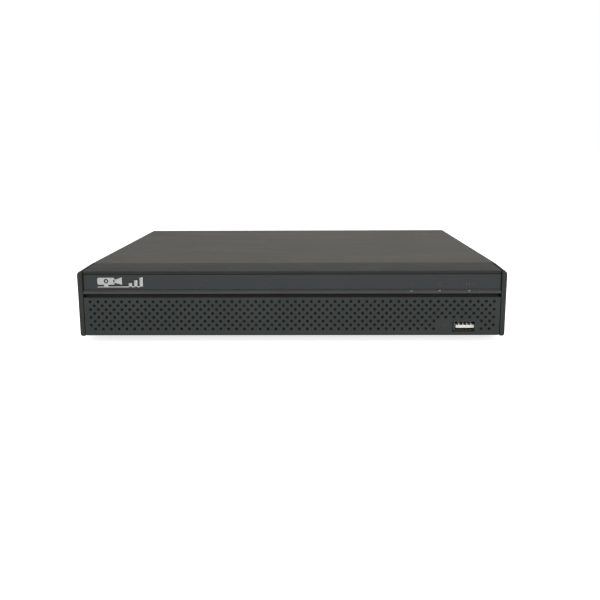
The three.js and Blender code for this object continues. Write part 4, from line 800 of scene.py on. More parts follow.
def usb_socket(side, facing, name):
    """A formed steel shell with latch windows, and a tongue with four sprung contacts."""
    low, high = span(side + "_usb_shell")
    tongue_low, tongue_high = span(side + "_usb_tongue")
    wide, tall, deep = 13.0, 5.7, high.y - low.y
    set_back = 2.2 if facing is FACING_FRONT else 0
    where = ((low.x + high.x) / 2, low.y if facing is FACING_FRONT else high.y, (low.z + high.z) / 2)
    can = plate((0, 0, wide, tall, 0.55, 4), [(0, 0, wide - 0.7, tall - 0.7, 0.3, 4)], deep - set_back, 0.08)
    can = carved(placed(can, (0, 0, -set_back)),
                 *[block((x - 1.2, y - 1, -6.5), (x + 1.2, y + 1, -3.0)) for x in (-3.1, 3.1)
                   for y in (-tall / 2, tall / 2)])
    back = block((-wide / 2 + 0.3, -tall / 2 + 0.3, -deep), (wide / 2 - 0.3, tall / 2 - 0.3, -deep + 0.4))
    finished(name + "_shell", placed(joined(can, back), where, facing), SHELL_PAINTED_SHADE, [side + "_usb_shell"])

    foot, top = tongue_low.z - where[2], tongue_high.z - where[2]
    bar = block((-5.55, foot, -deep + 0.75), (5.55, top, -1.2), 0.22)
    finished(name + "_tongue", placed(bar, where, facing), FINISHES["socket_white"],
             [side + "_usb_tongue"])
    columns = (-3.6, -1.2, 1.2, 3.6)
    # Thin black strips on the tongue's top under each contact: painted shade for the shadow under the socket's roof,
    # not slots in the tongue.
    slots = [block((x - 1.0, top - 0.1, -deep + 1.2), (x + 1.0, top + 0.05, -1.3)) for x in columns]
    finished(name + "_painted_shade_under_contacts", placed(joined(*slots), where, facing), FINISHES["socket_black"])
    strips = []
    for x in columns:
        strips.append(block((x - 0.5, top, -deep + 1.2), (x + 0.5, top + 0.1, -5.0), 0.04))
        spring = prism([(-1.4, top), (-2.9, top + 1.42), (-5.5, top + 0.9), (-5.5, top + 1.1), (-2.9, top + 1.62),
                        (-1.15, top + 0.1)], -0.5, 0.5, 0.04)
        strips.append(placed(spring, (x, 0, 0), TIPPED))
    finished(name + "_contacts", placed(joined(*strips), where, facing), CONTACT)


def camera_jack(number):
    """A bayonet jack: its block, threaded neck, hexagon nut, washer, studded barrel and centre contact."""
    node = f"camera_jack_{number}"
    low, high = span(node)
    wide = high.x - low.x
    panel = high.y - 12
    where = ((low.x + high.x) / 2, panel, (low.z + high.z) / 2)
    body = block((-wide / 2, -wide / 2, -19.3), (wide / 2, wide / 2, -1.3), 0.5)
    thread = [(0, -2)]
    for i in range(8):
        thread += [(6.0, -1.9 + i * 0.5), (5.7, -1.65 + i * 0.5)]
    thread += [(5.2, 2.6), (0, 2.6)]
    washer = turned([(6.2, 0.3), (7.2, 0.3), (7.2, 0.62), (7.05, 0.72), (6.2, 0.72), (6.2, 0.3)], 36)
    nut = rod(6.95, 0.72, 2.3, 6)
    bmesh.ops.bevel(nut, geom=[e for e in nut.edges if abs(e.verts[0].co.z - e.verts[1].co.z) < 0.01
                               and e.verts[0].co.z > 2], offset=0.35, segments=2, profile=0.5, affect="EDGES",
                    clamp_overlap=True, material=-1)
    barrel = turned([(0, 1.4), (4.8, 1.4), (4.8, 2.9), (4.55, 3.1), (4.55, 3.5), (4.8, 3.7), (4.8, 11.6),
                     (4.6, 12), (4.25, 12), (4.05, 11.8), (4.05, 3.4), (0, 3.4)], 40)
    parts = [body, turned(thread, 36), washer, nut, barrel]
    for side in (-90, 90):
        stud = placed(rod(1.0, 4.3, 5.9, 16, 0.2), facing=Matrix.Rotation(math.radians(side), 4, "X"))
        parts.append(placed(stud, (0, 0, 8.5)))
    finished(node + "_body", placed(joined(*parts), where, FACING_REAR), FINISHES["nickel"], [node])
    insulator = turned([(0, 3.5), (3.9, 3.5), (3.9, 4.6), (2.35, 4.6), (2.35, 9.2), (2.1, 9.5), (1.15, 9.5),
                        (1.15, 5), (0, 5)], 32)
    finished(node + "_insulator", placed(insulator, where, FACING_REAR), FINISHES["socket_white"])
    contact = turned([(0, 4.9), (1.05, 4.9), (1.05, 9.3), (0.85, 9.6), (0.5, 9.6), (0.5, 6), (0, 6)], 20)
    finished(node + "_contact", placed(contact, where, FACING_REAR), GOLD)


def audio_jack(node, colour, name):
    """A phono jack: coloured block and insulator, with a plated sleeve between them."""
    low, high = span(node)
    wide, tall = high.x - low.x, high.z - low.z
    where = ((low.x + high.x) / 2, high.y - 9, (low.z + high.z) / 2)
    body = block((-wide / 2, -tall / 2, -15.3), (wide / 2, tall / 2, -1.3), 0.4)
    collar = turned([(0, -1.4), (4.15, -1.4), (4.15, 1.3), (3.95, 1.5), (0, 1.5)], 36)
    core = turned([(0, 1.4), (3.3, 1.4), (3.3, 8.3), (3.1, 8.5), (1.75, 8.5), (1.6, 8.3), (1.6, 2), (0, 2)], 32)
    finished(name + "_body", placed(joined(body, collar, core), where, FACING_REAR), FINISHES[colour],
             [node])
    sleeve = turned([(3.36, 1.52), (4.1, 1.52), (4.1, 8.7), (3.95, 9), (3.6, 9), (3.36, 8.8), (3.36, 1.52)], 40)
    finished(name + "_sleeve", placed(sleeve, where, FACING_REAR), FINISHES["nickel"])
    clip = turned([(1.2, 2.1), (1.5, 2.1), (1.5, 7.6), (1.35, 7.8), (1.2, 7.6), (1.2, 2.1)], 20)
    finished(name + "_clip", placed(clip, where, FACING_REAR), GOLD)


def d_outline(grow):
    """The monitor socket's outline, wider at the top."""
    top, rise, slope, r = 8.3 + grow, 4.2 + grow, 1.2, 1.6
    foot = top - slope
    corners = [((-foot + r, -rise + r), 190, 270), ((foot - r, -rise + r), 270, 350),
               ((top - r, rise - r), 10, 90), ((-top + r, rise - r), 90, 170)]
    return [p for centre, start, end in corners for p in arc(centre, r, start, end, 5)]


def monitor_socket():
    """A D-shaped socket with its fifteen contact holes, flange and two hexagon standoffs."""
    low, high = span("monitor_socket_shell")
    where = ((low.x + high.x) / 2, high.y - 6, (low.z + high.z) / 2)
    wide, tall = high.x - low.x, high.z - low.z
    body = block((-wide / 2, -tall / 2, -13.3), (wide / 2, tall / 2, -1.3), 0.3)
    collar = carved(prism(d_outline(0), -2.2, 6, 0.12), prism(d_outline(-0.5), -0.3, 7))
    parts = [body, collar]
    for x in (-12.5, 12.5):
        post = carved(eased(rod(2.8, -2, 4.5, 6), 0.25), rod(1.3, 1, 5, 20))
        parts.append(placed(post, (x, 0, 0)))
    finished("monitor_socket_can", placed(joined(*parts), where, FACING_REAR), FINISHES["nickel"],
             ["monitor_socket_shell"])
    rows = [[(x, y) for x in evenly(5, 2.29, shift)] for y, shift in ((1.98, 0), (0, -1.14), (-1.98, 0))]
    holes = [rod(0.5, 3.4, 5.5, 12) for row in rows for _ in row]
    for hole, (x, y) in zip(holes, [p for row in rows for p in row]):
        placed(hole, (x, y, 0))
    face = carved(prism(d_outline(-0.8), 0.02, 4.8, 0.15), *holes)
    finished("monitor_socket_insert", placed(face, where, FACING_REAR), FINISHES["socket_blue"],
             ["monitor_socket_face"])
    pins = joined(*[placed(turned([(0.3, 3.45), (0.46, 3.45), (0.46, 4.5), (0.3, 4.5), (0.3, 3.45)], 12), (x, y, 0))
                    for row in rows for x, y in row])
    finished("monitor_socket_contacts", placed(pins, where, FACING_REAR), GOLD)


def video_socket():
    """A digital video socket: its formed shell and the contact tongue."""
    low, high = span("video_socket_shell")
    where = ((low.x + high.x) / 2, high.y, low.z)

    def outline(grow):
        half, c, top = 7.5 + grow, 1.4, 5.6 + grow
        return [(-half + c, -grow), (half - c, -grow), (half, c), (half, top), (-half, top), (-half, c)]

    can = carved(prism(outline(0), -12, 0, 0.1), prism(outline(-0.4), -11.6, 1))
    finished("video_socket_can", placed(can, where, FACING_REAR), FINISHES["nickel"],
             ["video_socket_shell"])
    tongue = block((-5.7, 2.15, -11.3), (5.7, 3.45, -1.2), 0.18)
    finished("video_socket_blade", placed(tongue, where, FACING_REAR), FINISHES["socket_black"],
             ["video_socket_tongue"])
    strips = [block((x - 0.16, y, -9), (x + 0.16, y + 0.06, -1.7))
              for x, y in [(x, 3.45) for x in evenly(10, 1.0)] + [(x, 2.09) for x in evenly(9, 1.0)]]
    finished("video_socket_contacts", placed(joined(*strips), where, FACING_REAR), GOLD)


def network_socket():
    """A shielded network socket: stepped port, eight sprung wires and two lights."""
    low, high = span("network_socket")
    wide, tall = high.x - low.x, high.z - low.z
    where = ((low.x + high.x) / 2, high.y, low.z)
    port = block((-5.9, 3.5, -13), (5.9, 11.5, 1))
    key = block((-3.1, 1.7, -13), (3.1, 4.5, 1))
    notch = block((-2.1, 0.9, -3), (2.1, 2.5, 1))
    body = carved(block((-wide / 2, 0, -20), (wide / 2, tall, 0), 0.35), port, key, notch,
                  *[block((x - 1.6, 11.9, -1.2), (x + 1.6, 13, 1)) for x in (-5.6, 5.6)])
    finished("network_socket_shield", placed(body, where, FACING_REAR), FINISHES["nickel"],
             ["network_socket"])
    liner = plate((0, 7.5, 11.7, 7.9, 0.3, 2), [(0, 7.5, 10.9, 7.1, 0.2, 2)], 12, 0.05)
    comb = block((-5.3, 9.9, -12.9), (5.3, 11.0, -8.5), 0.1)
    finished("network_socket_liner", placed(joined(placed(liner, (0, 0, -0.7)), comb), where, FACING_REAR),
             FINISHES["socket_black"])
    wires = [placed(block((-0.2, 0, -8.5), (0.2, 0.25, 0), 0.06), (x, 10.1, -1.8), Matrix.Rotation(math.radians(24), 4, "X"))
             for x in evenly(8, 1.02)]
    finished("network_socket_wires", placed(joined(*wires), where, FACING_REAR), GOLD)
    for x, name, colour in ((-5.6, "amber", "socket_red"), (5.6, "green", "socket_green")):
        lens = block((x - 1.5, 11.95, -1.15), (x + 1.5, 12.95, -0.1), 0.15)
        finished(f"network_socket_{name}_lens", placed(lens, where, FACING_REAR), FINISHES[colour])


def terminal_block():
    """A pluggable screw terminal: the header in the panel and the plug with its clamps."""
    low, high = span("terminal_header")
    wide, tall = high.x - low.x, high.z - low.z
    where = ((low.x + high.x) / 2, high.y, low.z)
    header = carved(block((-wide / 2, 0, -11), (wide / 2, tall, 0), 0.25),
                    block((-wide / 2 + 1, 1, -8), (wide / 2 - 1, tall - 1, 1)),
                    *[block((x - 0.9, tall - 1.5, -2.5), (x + 0.9, tall + 1, 1)) for x in evenly(4, 3.81)])
    finished("terminal_header_body", placed(header, where, FACING_REAR), FINISHES["socket_green"],
             ["terminal_header"])
    plug_low, plug_high = span("terminal_plug")
    reach = plug_high.y - high.y
    half = (plug_high.x - plug_low.x) / 2
    grip = block((-half, 0, 0.3), (half, tall + 1, reach), 0.3)
    nose = block((-half, 1.3, -7.7), (half, tall - 1.3, 0.6), 0.2)
    wires = [placed(rod(1.2, reach - 5, reach + 1, 20), (x, 4.5, 0)) for x in evenly(4, 3.81)]
    wells = [placed(rod(1.45, -6, 3, 20), (x, tall + 1, 5.4), Matrix.Rotation(math.radians(-90), 4, "X"))
             for x in evenly(4, 3.81)]
    steps = [block((x - 0.12, 0.8, reach - 0.5), (x + 0.12, tall + 2, reach + 1)) for x in evenly(3, 3.81)]
    plug = carved(joined_solid(grip, nose), *wires, *wells, *steps)
    finished("terminal_plug_body", placed(plug, where, FACING_REAR), FINISHES["socket_green"],
             ["terminal_plug"], "pull_off_plug")
    screws = [placed(slotted_head(1.3, 0.9), (x, tall - 1.4, 5.4), Matrix.Rotation(math.radians(-90), 4, "X"))
              for x in evenly(4, 3.81)]
    finished("terminal_plug_screws", placed(joined(*screws), where, FACING_REAR), FINISHES["screw_steel"],
             body="pull_off_plug")


def joined_solid(first, second):
    """Two solids fused into one closed body."""
    objects = []
    for part in (first, second):
        mesh = bpy.data.meshes.new("fused")
        part.to_mesh(mesh)
        part.free()
        made = bpy.data.objects.new("fused", mesh)
        bpy.context.scene.collection.objects.link(made)
        objects.append(made)
    fuse = objects[0].modifiers.new("fuse", "BOOLEAN")
    fuse.operation, fuse.solver, fuse.object = "UNION", "EXACT", objects[1]
    result = bmesh.new()
    result.from_object(objects[0], bpy.context.evaluated_depsgraph_get())
    for made in objects:
        mesh = made.data
        bpy.data.objects.remove(made)
        bpy.data.meshes.remove(mesh)
    return result


def slotted_head(radius, height):
    """A round screw head with a slot."""
    head = rod(radius, 0, height, 24, 0.15)
    return carved(head, block((-radius - 1, -0.2, height - 0.5), (radius + 1, 0.2, height + 1)))


def cross_head(radius, height, shank=0.0, length=0.0):
    """A pan-head screw with a cross recess, its head standing on Z = 0."""
    head = turned([(0, 0), (radius, 0), (radius, height * 0.35), (radius * 0.94, height * 0.62),
                   (radius * 0.74, height * 0.88), (radius * 0.4, height), (0, height)], 28)
    wide, arm = radius * 0.16, radius * 0.52
    cross = [placed(block((-arm, -wide, -height * 0.55), (arm, wide, 1)), (0, 0, height),
                    Matrix.Rotation(turn, 4, "Z")) for turn in (0, math.pi / 2)]
    head = carved(head, *cross)
    if not length:
        return head
    thread = [(0, -length)]
    turns = int(length / 0.5)
    for i in range(turns):
        thread += [(shank * 0.86, -length + i * 0.5 + 0.1), (shank, -length + i * 0.5 + 0.3)]
    return joined(head, turned(thread + [(shank, 0.05), (0, 0.05)], 20))


def power_jack():
    """A barrel power socket: a moulded block with a round well, spring leaf and pin."""
    low, high = span("power_jack")
    wide, tall = high.x - low.x, high.z - low.z
    where = ((low.x + high.x) / 2, high.y, low.z)
    body = carved(block((-wide / 2, 0, -14), (wide / 2, tall, 0), 0.5),
                  placed(rod(3.1, -9, 1, 36), (0, tall / 2, 0)),
                  placed(rod(3.5, -0.5, 1, 36), (0, tall / 2, 0)))
    finished("power_jack_body", placed(body, where, FACING_REAR), FINISHES["socket_black"],
             ["power_jack"])
    pin = turned([(0, -9), (1.05, -9), (1.05, -2.4), (0.8, -2), (0.35, -2), (0.3, -3.5), (0, -3.5)], 24)
    leaf = block((-1.1, 2.75, -8.8), (1.1, 2.95, -1.4), 0.05)
    finished("power_jack_pin", placed(joined(pin, leaf), (where[0], where[1], where[2] + tall / 2), FACING_REAR),
             FINISHES["nickel"])


def ground_screw():
    low, high = span("ground_screw")
    where = ((low.x + high.x) / 2, high.y - 2.6, (low.z + high.z) / 2)
    washer = turned([(2.2, 0), (3.9, 0), (3.9, 0.35), (3.75, 0.45), (2.2, 0.45), (2.2, 0)], 36)
    screw = placed(cross_head(3.6, 2.1, 2, 8), (0, 0, 0.46))
    finished("ground_screw_set", placed(joined(screw, washer), where, FACING_REAR), FINISHES["screw_steel"],
             ["ground_screw"])


# ------------------------------------------------------------------ cover, chassis and feet

COVER_LOW, COVER_HIGH = span("top_cover")
CHASSIS_LOW, CHASSIS_HIGH = span("chassis_pan")
FAN_MIDDLE = middle("fan_frame")


def refilled(shape, face, slots):
    """Cuts rounded slots in a flat face: each is its middle along the face, width, height and radius."""
    centre, normal = face.calc_center_median(), face.normal.copy()
    side = Vector((0, 0, 1)).cross(normal).normalized()
    up = normal.cross(side)
    rim = list(face.edges)
    bmesh.ops.delete(shape, geom=[face], context="FACES_ONLY")
    for x, z, wide, tall, radius, steps in slots:
        edges = ring(shape, (0, 0, wide, tall, radius, steps), 0, 0)
        at = Vector((x if abs(normal.y) > 0.5 else centre.x, centre.y if abs(normal.y) > 0.5 else x, z))
        for v in {v for e in edges for v in e.verts}:
            v.co = at + side * v.co.x + up * v.co.y
        rim += edges
    bmesh.ops.triangle_fill(shape, use_beauty=True, edges=rim, normal=normal)


def top_cover():
    """The folded sheet cover: rounded bends, slotted sides, a rear flange with its screw holes."""
    sheet, bend, lip = 0.8, 1.2, 7
    low, high = COVER_LOW.copy(), COVER_HIGH.copy()
    shape = bmesh.new()
    bmesh.ops.create_cube(shape, size=1, matrix=Matrix.LocRotScale((low + high) / 2, None, high - low))
    bmesh.ops.delete(shape, geom=[f for f in shape.faces if f.normal.z < -0.5 or f.normal.y < -0.5],
                     context="FACES_ONLY")
    bmesh.ops.bisect_plane(shape, geom=shape.verts[:] + shape.edges[:] + shape.faces[:], dist=1e-4,
                           plane_co=(0, 0, high.z - lip), plane_no=(0, 0, 1))
    bmesh.ops.delete(shape, geom=[f for f in shape.faces if f.normal.y > 0.5 and
                                  f.calc_center_median().z < high.z - lip], context="FACES")
    folds = [e for e in shape.edges if len(e.link_faces) == 2 and e.calc_face_angle() > 1]
    bmesh.ops.bevel(shape, geom=folds, offset=bend, segments=6, profile=0.5, affect="EDGES",
                    clamp_overlap=False, material=-1)
    sides = [f for f in shape.faces if abs(f.normal.x) > 0.99]
    seams = [e for e in shape.edges if len(e.link_faces) == 2 and all(f in sides for f in e.link_faces)]
    bmesh.ops.dissolve_edges(shape, edges=seams, use_verts=False, use_face_split=False)
    rise = (CHASSIS_LOW.z + CHASSIS_HIGH.z) / 2 + 3
    vents = [(y, z, 2.6, 9, 1.3, 3) for z in evenly(2, 12, rise) for y in evenly(14, 6, FAN_MIDDLE.y)]
    for face in [f for f in shape.faces if abs(f.normal.x) > 0.99]:
        refilled(shape, face, vents)
    rear = [f for f in shape.faces if f.normal.y > 0.99][0]
    screws = [(middle(n).x, middle(n).z, 3.6, 3.6, 1.8, 6) for n in COVER_SCREWS]
    refilled(shape, rear, screws)
    bmesh.ops.recalc_face_normals(shape, faces=shape.faces)
    if [f for f in shape.faces if f.normal.z > 0.99] == []:
        bmesh.ops.reverse_faces(shape, faces=shape.faces)
    bmesh.ops.solidify(shape, geom=shape.faces[:], thickness=sheet)
    return finished("folded_cover", shape, FINISHES["cover_paint"], ["top_cover"], "cover", 30)


COVER_SCREWS = ["cover_screw_left", "cover_screw_middle", "cover_screw_right"]


def cover_screws():
    for node in COVER_SCREWS:
        low, high = span(node)
        where = ((low.x + high.x) / 2, high.y - 2, (low.z + high.z) / 2)
        finished(node + "_pan", placed(cross_head(2.95, 2, 1.5, 6), where, FACING_REAR), FINISHES["screw_steel"],
                 [node], "cover")


def feet():
    """Moulded rubber feet with a rounded rim, a dished sole and a sunk fixing."""
    for node in ("foot_front_left", "foot_front_right", "foot_rear_left", "foot_rear_right"):
        low, high = span(node)
        centre = (low + high) / 2
        foot = turned([(0, 1.6), (2.0, 1.6), (2.2, 0.9), (2.9, 0.25), (3.4, 0), (6.6, 0), (7.2, 0.18), (7.6, 0.6),
                       (7.8, 1.2), (8.0, 3.9), (8.0, 4.4), (7.8, 4.7), (0, 4.7)], 40)
        grooves = placed(foot, (centre.x, centre.y, low.z))
        finished(node + "_pad", grooves, FINISHES["foot_rubber"], [node])
        pin = placed(turned([(0, 0.9), (1.5, 0.9), (1.8, 1.2), (1.9, 1.7), (0, 1.7)], 24), (centre.x, centre.y, low.z))
        finished(node + "_rivet", pin, FINISHES["socket_black"])


def drive_screws():
    for i in range(1, 5):
        node = f"drive_screw_{i}"
        low, high = span(node)
        where = ((low.x + high.x) / 2, (low.y + high.y) / 2, low.z + 1.8)
        finished(node + "_pan", placed(cross_head(3.1, 1.8, 1.6, 7), where, FACING_DOWN), FINISHES["screw_steel"],
                 [node])


def chassis_details():
    """Clinched nuts for the cover screws."""
    inside = CHASSIS_HIGH.y - 1
    nuts = [placed(turned([(1.9, 0), (3.0, 0), (3.0, 1.6), (2.8, 1.8), (1.9, 1.8), (1.9, 0)], 24),
                   (middle(n).x, inside, middle(n).z), FACING_FRONT) for n in COVER_SCREWS]
    finished("cover_screw_nuts", joined(*nuts), FINISHES["screw_steel"])


def rear_marks():
    """Plain printed symbols over the rear sockets."""
    face = CHASSIS_HIGH.y

    def mark(points, x, z):
        return placed(prism(points, 0, 0.03), (x, face, z), FACING_REAR)

    def bar(half, low, high):
        return [(-half, low), (half, low), (half, high), (-half, high)]

    ground = middle("ground_screw")
    parts = [mark(bar(0.2, 0, 2), ground.x, ground.z + 6.2), mark(bar(1.8, -0.2, 0.2), ground.x, ground.z + 6.2),
             mark(bar(1.1, -1.0, -0.6), ground.x, ground.z + 6.2), mark(bar(0.5, -1.8, -1.4), ground.x, ground.z + 6.2)]
    power = middle("power_jack")
    parts += [placed(plate(round_hole(0, 0, 1.3), [round_hole(0, 0, 1.0)], 0.03, 0), (power.x, face + 0.03, power.z + 9), FACING_REAR),
              placed(rod(0.5, 0, 0.03, 16), (power.x, face, power.z + 9), FACING_REAR),
              mark(bar(1.5, -0.15, 0.15), power.x + 3.6, power.z + 9), mark(bar(1.5, -0.15, 0.15), power.x - 3.6, power.z + 9)]
    for node, up in (("audio_in_jack", -1), ("audio_out_jack", 1)):
        at = middle(node)
        parts.append(mark([(-1.0, -0.9 * up), (1.0, -0.9 * up), (0, 0.9 * up)], at.x - 7.4, at.z))
    network = middle("network_socket")
    for i, (x, z) in enumerate(((0, 1.2), (-1.8, -0.9), (1.8, -0.9))):
        parts.append(mark(bar(0.7, z - 0.5, z + 0.5), network.x + x, network.z + 10))
    parts.append(mark(bar(2.0, 0.05, 0.3), network.x, network.z + 10))
    for number in range(1, 5):
        at = middle(f"camera_jack_{number}")
        for dot in evenly(number, 1.6):
            parts.append(placed(rod(0.5, 0, 0.03, 14), (at.x + dot, face, at.z + 10.4), FACING_REAR))
    finished("rear_printed_marks", joined(*parts), DARK_PRINT)


# ------------------------------------------------------------------ main board

BOARD_LOW, BOARD_HIGH = span("main_board")
BOARD_TOP = BOARD_HIGH.z


def on_board(x, y, lift=0.0):
    """A place on the main board, from its middle at the front edge."""
    return (x, BOARD_LOW.y + y, BOARD_TOP + lift)


def main_board():
    """The board with rounded corners, drilled post holes and tinned rings, and its four screws."""
    centre, size = (BOARD_LOW + BOARD_HIGH) / 2, BOARD_HIGH - BOARD_LOW
    posts = [(x * (size.x / 2 - 5), y * (size.y / 2 - 5)) for x in (-1, 1) for y in (-1, 1)]
    sheet = plate((0, 0, size.x, size.y, 1.5, 4), [round_hole(x, y, 1.6) for x, y in posts], size.z, 0.08)
    finished("main_board_sheet", placed(sheet, (centre.x, centre.y, BOARD_TOP)), FINISHES["board_green"],
             ["main_board"])
    rings = [placed(plate(round_hole(0, 0, 3.6, 8), [round_hole(0, 0, 1.7)], 0.05, 0.02),
                    (centre.x + x, centre.y + y, BOARD_TOP + 0.05)) for x, y in posts]
    finished("board_earth_rings", joined(*rings), FINISHES["nickel"])
    screws = repeated(cross_head(2.9, 1.9), [(centre.x + x, centre.y + y, BOARD_TOP + 0.06) for x, y in posts])
    finished("board_screws", screws, FINISHES["screw_steel"])


def chip_body(wide, deep, tall, where):
    """A moulded chip with a pin-one dimple and a drafted upper edge."""
    body = eased(block((-wide / 2, -deep / 2, 0.12), (wide / 2, deep / 2, tall)), 0.14, 2)
    dimple = placed(rod(0.55, -0.15, 1, 16), (-wide / 2 + 1.4, deep / 2 - 1.4, tall))
    return placed(carved(body, dimple), where)


def gull_legs(wide, deep, count, where, sides=4):
    """Formed legs along two or four sides of a chip."""
    leg = prism([(0, 0.7), (0.5, 0.7), (0.8, 0.08), (1.25, 0.08), (1.25, 0), (0.7, 0), (0.42, 0.6), (0, 0.6)],
                -0.11, 0.11)
    placed(leg, facing=FACING_FRONT)
    legs = []
    for turn in range(sides):
        angle = math.tau * turn / sides if sides == 4 else math.pi * turn
        reach, run = (wide, deep) if turn % 2 == 0 or sides == 2 else (deep, wide)
        pitch = (run - 1.6) / (count - 1)
        row = repeated(leg.copy(), [(reach / 2 - 0.05, y, 0) for y in evenly(count, pitch)])
        legs.append(placed(row, facing=Matrix.Rotation(angle, 4, "Z")))
    leg.free()
    return placed(joined(*legs), where)


def board_chips():
    """The chips with legs: four video decoders, the network chip, the sound chip and the memory."""
    bodies, legs = [], []
    for x, y, wide, deep, count, sides in ((53.5, 52, 9, 9, 16, 4), (75, 52, 9, 9, 16, 4), (96.5, 52, 9, 9, 16, 4),
                                           (-44, 45, 8, 8, 14, 4), (36, 50, 5, 6, 7, 2), (-52, 18, 8, 6, 8, 2),
                                           (62, 20, 5, 4, 4, 2), (-97, 18, 5, 4, 4, 2)):
        bodies.append(chip_body(wide, deep, 1.5, on_board(x, y)))
        legs.append(gull_legs(wide, deep, count, on_board(x, y), sides))
    finished("board_chips", joined(*bodies), FINISHES["chip_black"])
    finished("board_chip_legs", joined(*legs), FINISHES["nickel"])

    low, high = span("memory_chip")
    centre = middle("memory_chip")
    memory = chip_body(high.x - low.x, high.y - low.y, high.z - low.z, (centre.x, centre.y, low.z))
    finished("memory_chip_body", memory, FINISHES["chip_black"], ["memory_chip"])
    low, high = span("processor")
    centre = middle("processor")
    base = block((low.x, low.y, low.z), (high.x, high.y, low.z + 0.7), 0.1)
    finished("processor_carrier", base, FINISHES["board_green"], ["processor"])
    lid = block((low.x + 2.5, low.y + 2.5, low.z + 0.72), (high.x - 2.5, high.y - 2.5, high.z), 0.15)
    finished("processor_lid", lid, FINISHES["chip_black"])


def board_capacitors():
    """Upright cans with a printed stripe, on black bases, near the power socket and the drive leads."""
    cans, bases, stripes = [], [], []
    for x, y, radius, tall in ((-112, 52, 4, 9), (-101, 52, 4, 9), (-112, 40, 4, 9), (-92, 42, 3.1, 6.5),
                               (30, 28, 3.1, 6.5), (42, 28, 3.1, 6.5), (88, 26, 3.1, 6.5), (-30, 20, 3.1, 6.5)):
        can = turned([(0, 1.3), (radius * 0.9, 1.3), (radius, 1.5), (radius, 2.2), (radius * 0.94, 2.5),
                      (radius, 2.8), (radius, tall - 0.3), (radius - 0.3, tall), (0, tall)], 28)
        score = [placed(block((-radius * 0.7, -0.1, -0.12), (radius * 0.7, 0.1, 1)), (0, 0, tall),
                        Matrix.Rotation(turn, 4, "Z")) for turn in (0.3, 0.3 + math.pi / 2)]
        cans.append(placed(carved(can, *score), on_board(x, y)))
        bases.append(placed(block((-radius - 0.2, -radius - 0.2, 0), (radius + 0.2, radius + 0.2, 1.3), 0.35),
                            on_board(x, y)))
        stripe = prism(arc((0, 0), radius * 0.97, -65, 65, 10), tall, tall + 0.03)
        stripes.append(placed(stripe, on_board(x, y)))
    finished("capacitor_cans", joined(*cans), FINISHES["aluminium"])
    finished("capacitor_bases", joined(*bases), FINISHES["socket_black"])
    finished("capacitor_stripes", joined(*stripes), DARK_PRINT)


def board_coils():
    """Moulded power coils, the network transformer and two crystals."""
    coils = [placed(block((-4, -4, 0), (4, 4, 4), 0.9, 3), on_board(x, y))
             for x, y in ((-100.5, 28), (-112, 28), (46, 17), (-60, 8))]
    coils.append(placed(block((-7.5, -4.5, 0.4), (7.5, 4.5, 5.6), 0.4), on_board(-46, 56)))
    finished("board_coils", joined(*coils), FINISHES["chip_black"])
    crystals = [placed(prism([(-3.4, -2), *arc((3.2, 0), 2, -90, 90, 8), *arc((-3.2, 0), 2, 90, 270, 8)][1:],
                             0.2, 3.4, 0.4), on_board(x, y)) for x, y in ((-24, 53), (64, 42))]
    finished("board_crystals", joined(*crystals), FINISHES["nickel"])


def board_small_parts():
    """Rows of chip resistors and capacitors with tinned ends, scattered over the free parts of the board."""
    chance = random.Random(7)
    zones = [(-60, -42, 10, 36), (-30, -22, 10, 50), (24, 46, 36, 44), (50, 66, 34, 44), (70, 106, 36, 44),
             (84, 92, 8, 20), (-96, -88, 8, 32), (-84, -64, 4, 14), (-56, -24, 62, 64), (48, 120, 60, 61.5),
             (-20, 20, 52, 60), (-118, -90, 60, 66), (66, 82, 8, 20), (112, 120, 12, 44), (-84, -62, 44, 58)]
    black, tan, ends = [], [], []
    for left, right, near, far in zones:
        y = near
        while y <= far:
            x = left
            while x <= right:
                if chance.random() < 0.5:
                    (tan if chance.random() < 0.45 else black).append(on_board(x, y, 0.06))
                    ends.append(on_board(x, y))
                x += 2.9
            y += 2.1
    finished("chip_resistors", repeated(block((-0.55, -0.5, 0), (0.55, 0.5, 0.45)), black), FINISHES["chip_black"])
    finished("chip_capacitors", repeated(block((-0.55, -0.5, 0), (0.55, 0.5, 0.8)), tan), CERAMIC)
    pair = joined(block((-0.95, -0.52, 0), (-0.54, 0.52, 0.6)), block((0.54, -0.52, 0), (0.95, 0.52, 0.6)))
    finished("solder_ends", repeated(pair, ends), FINISHES["nickel"])


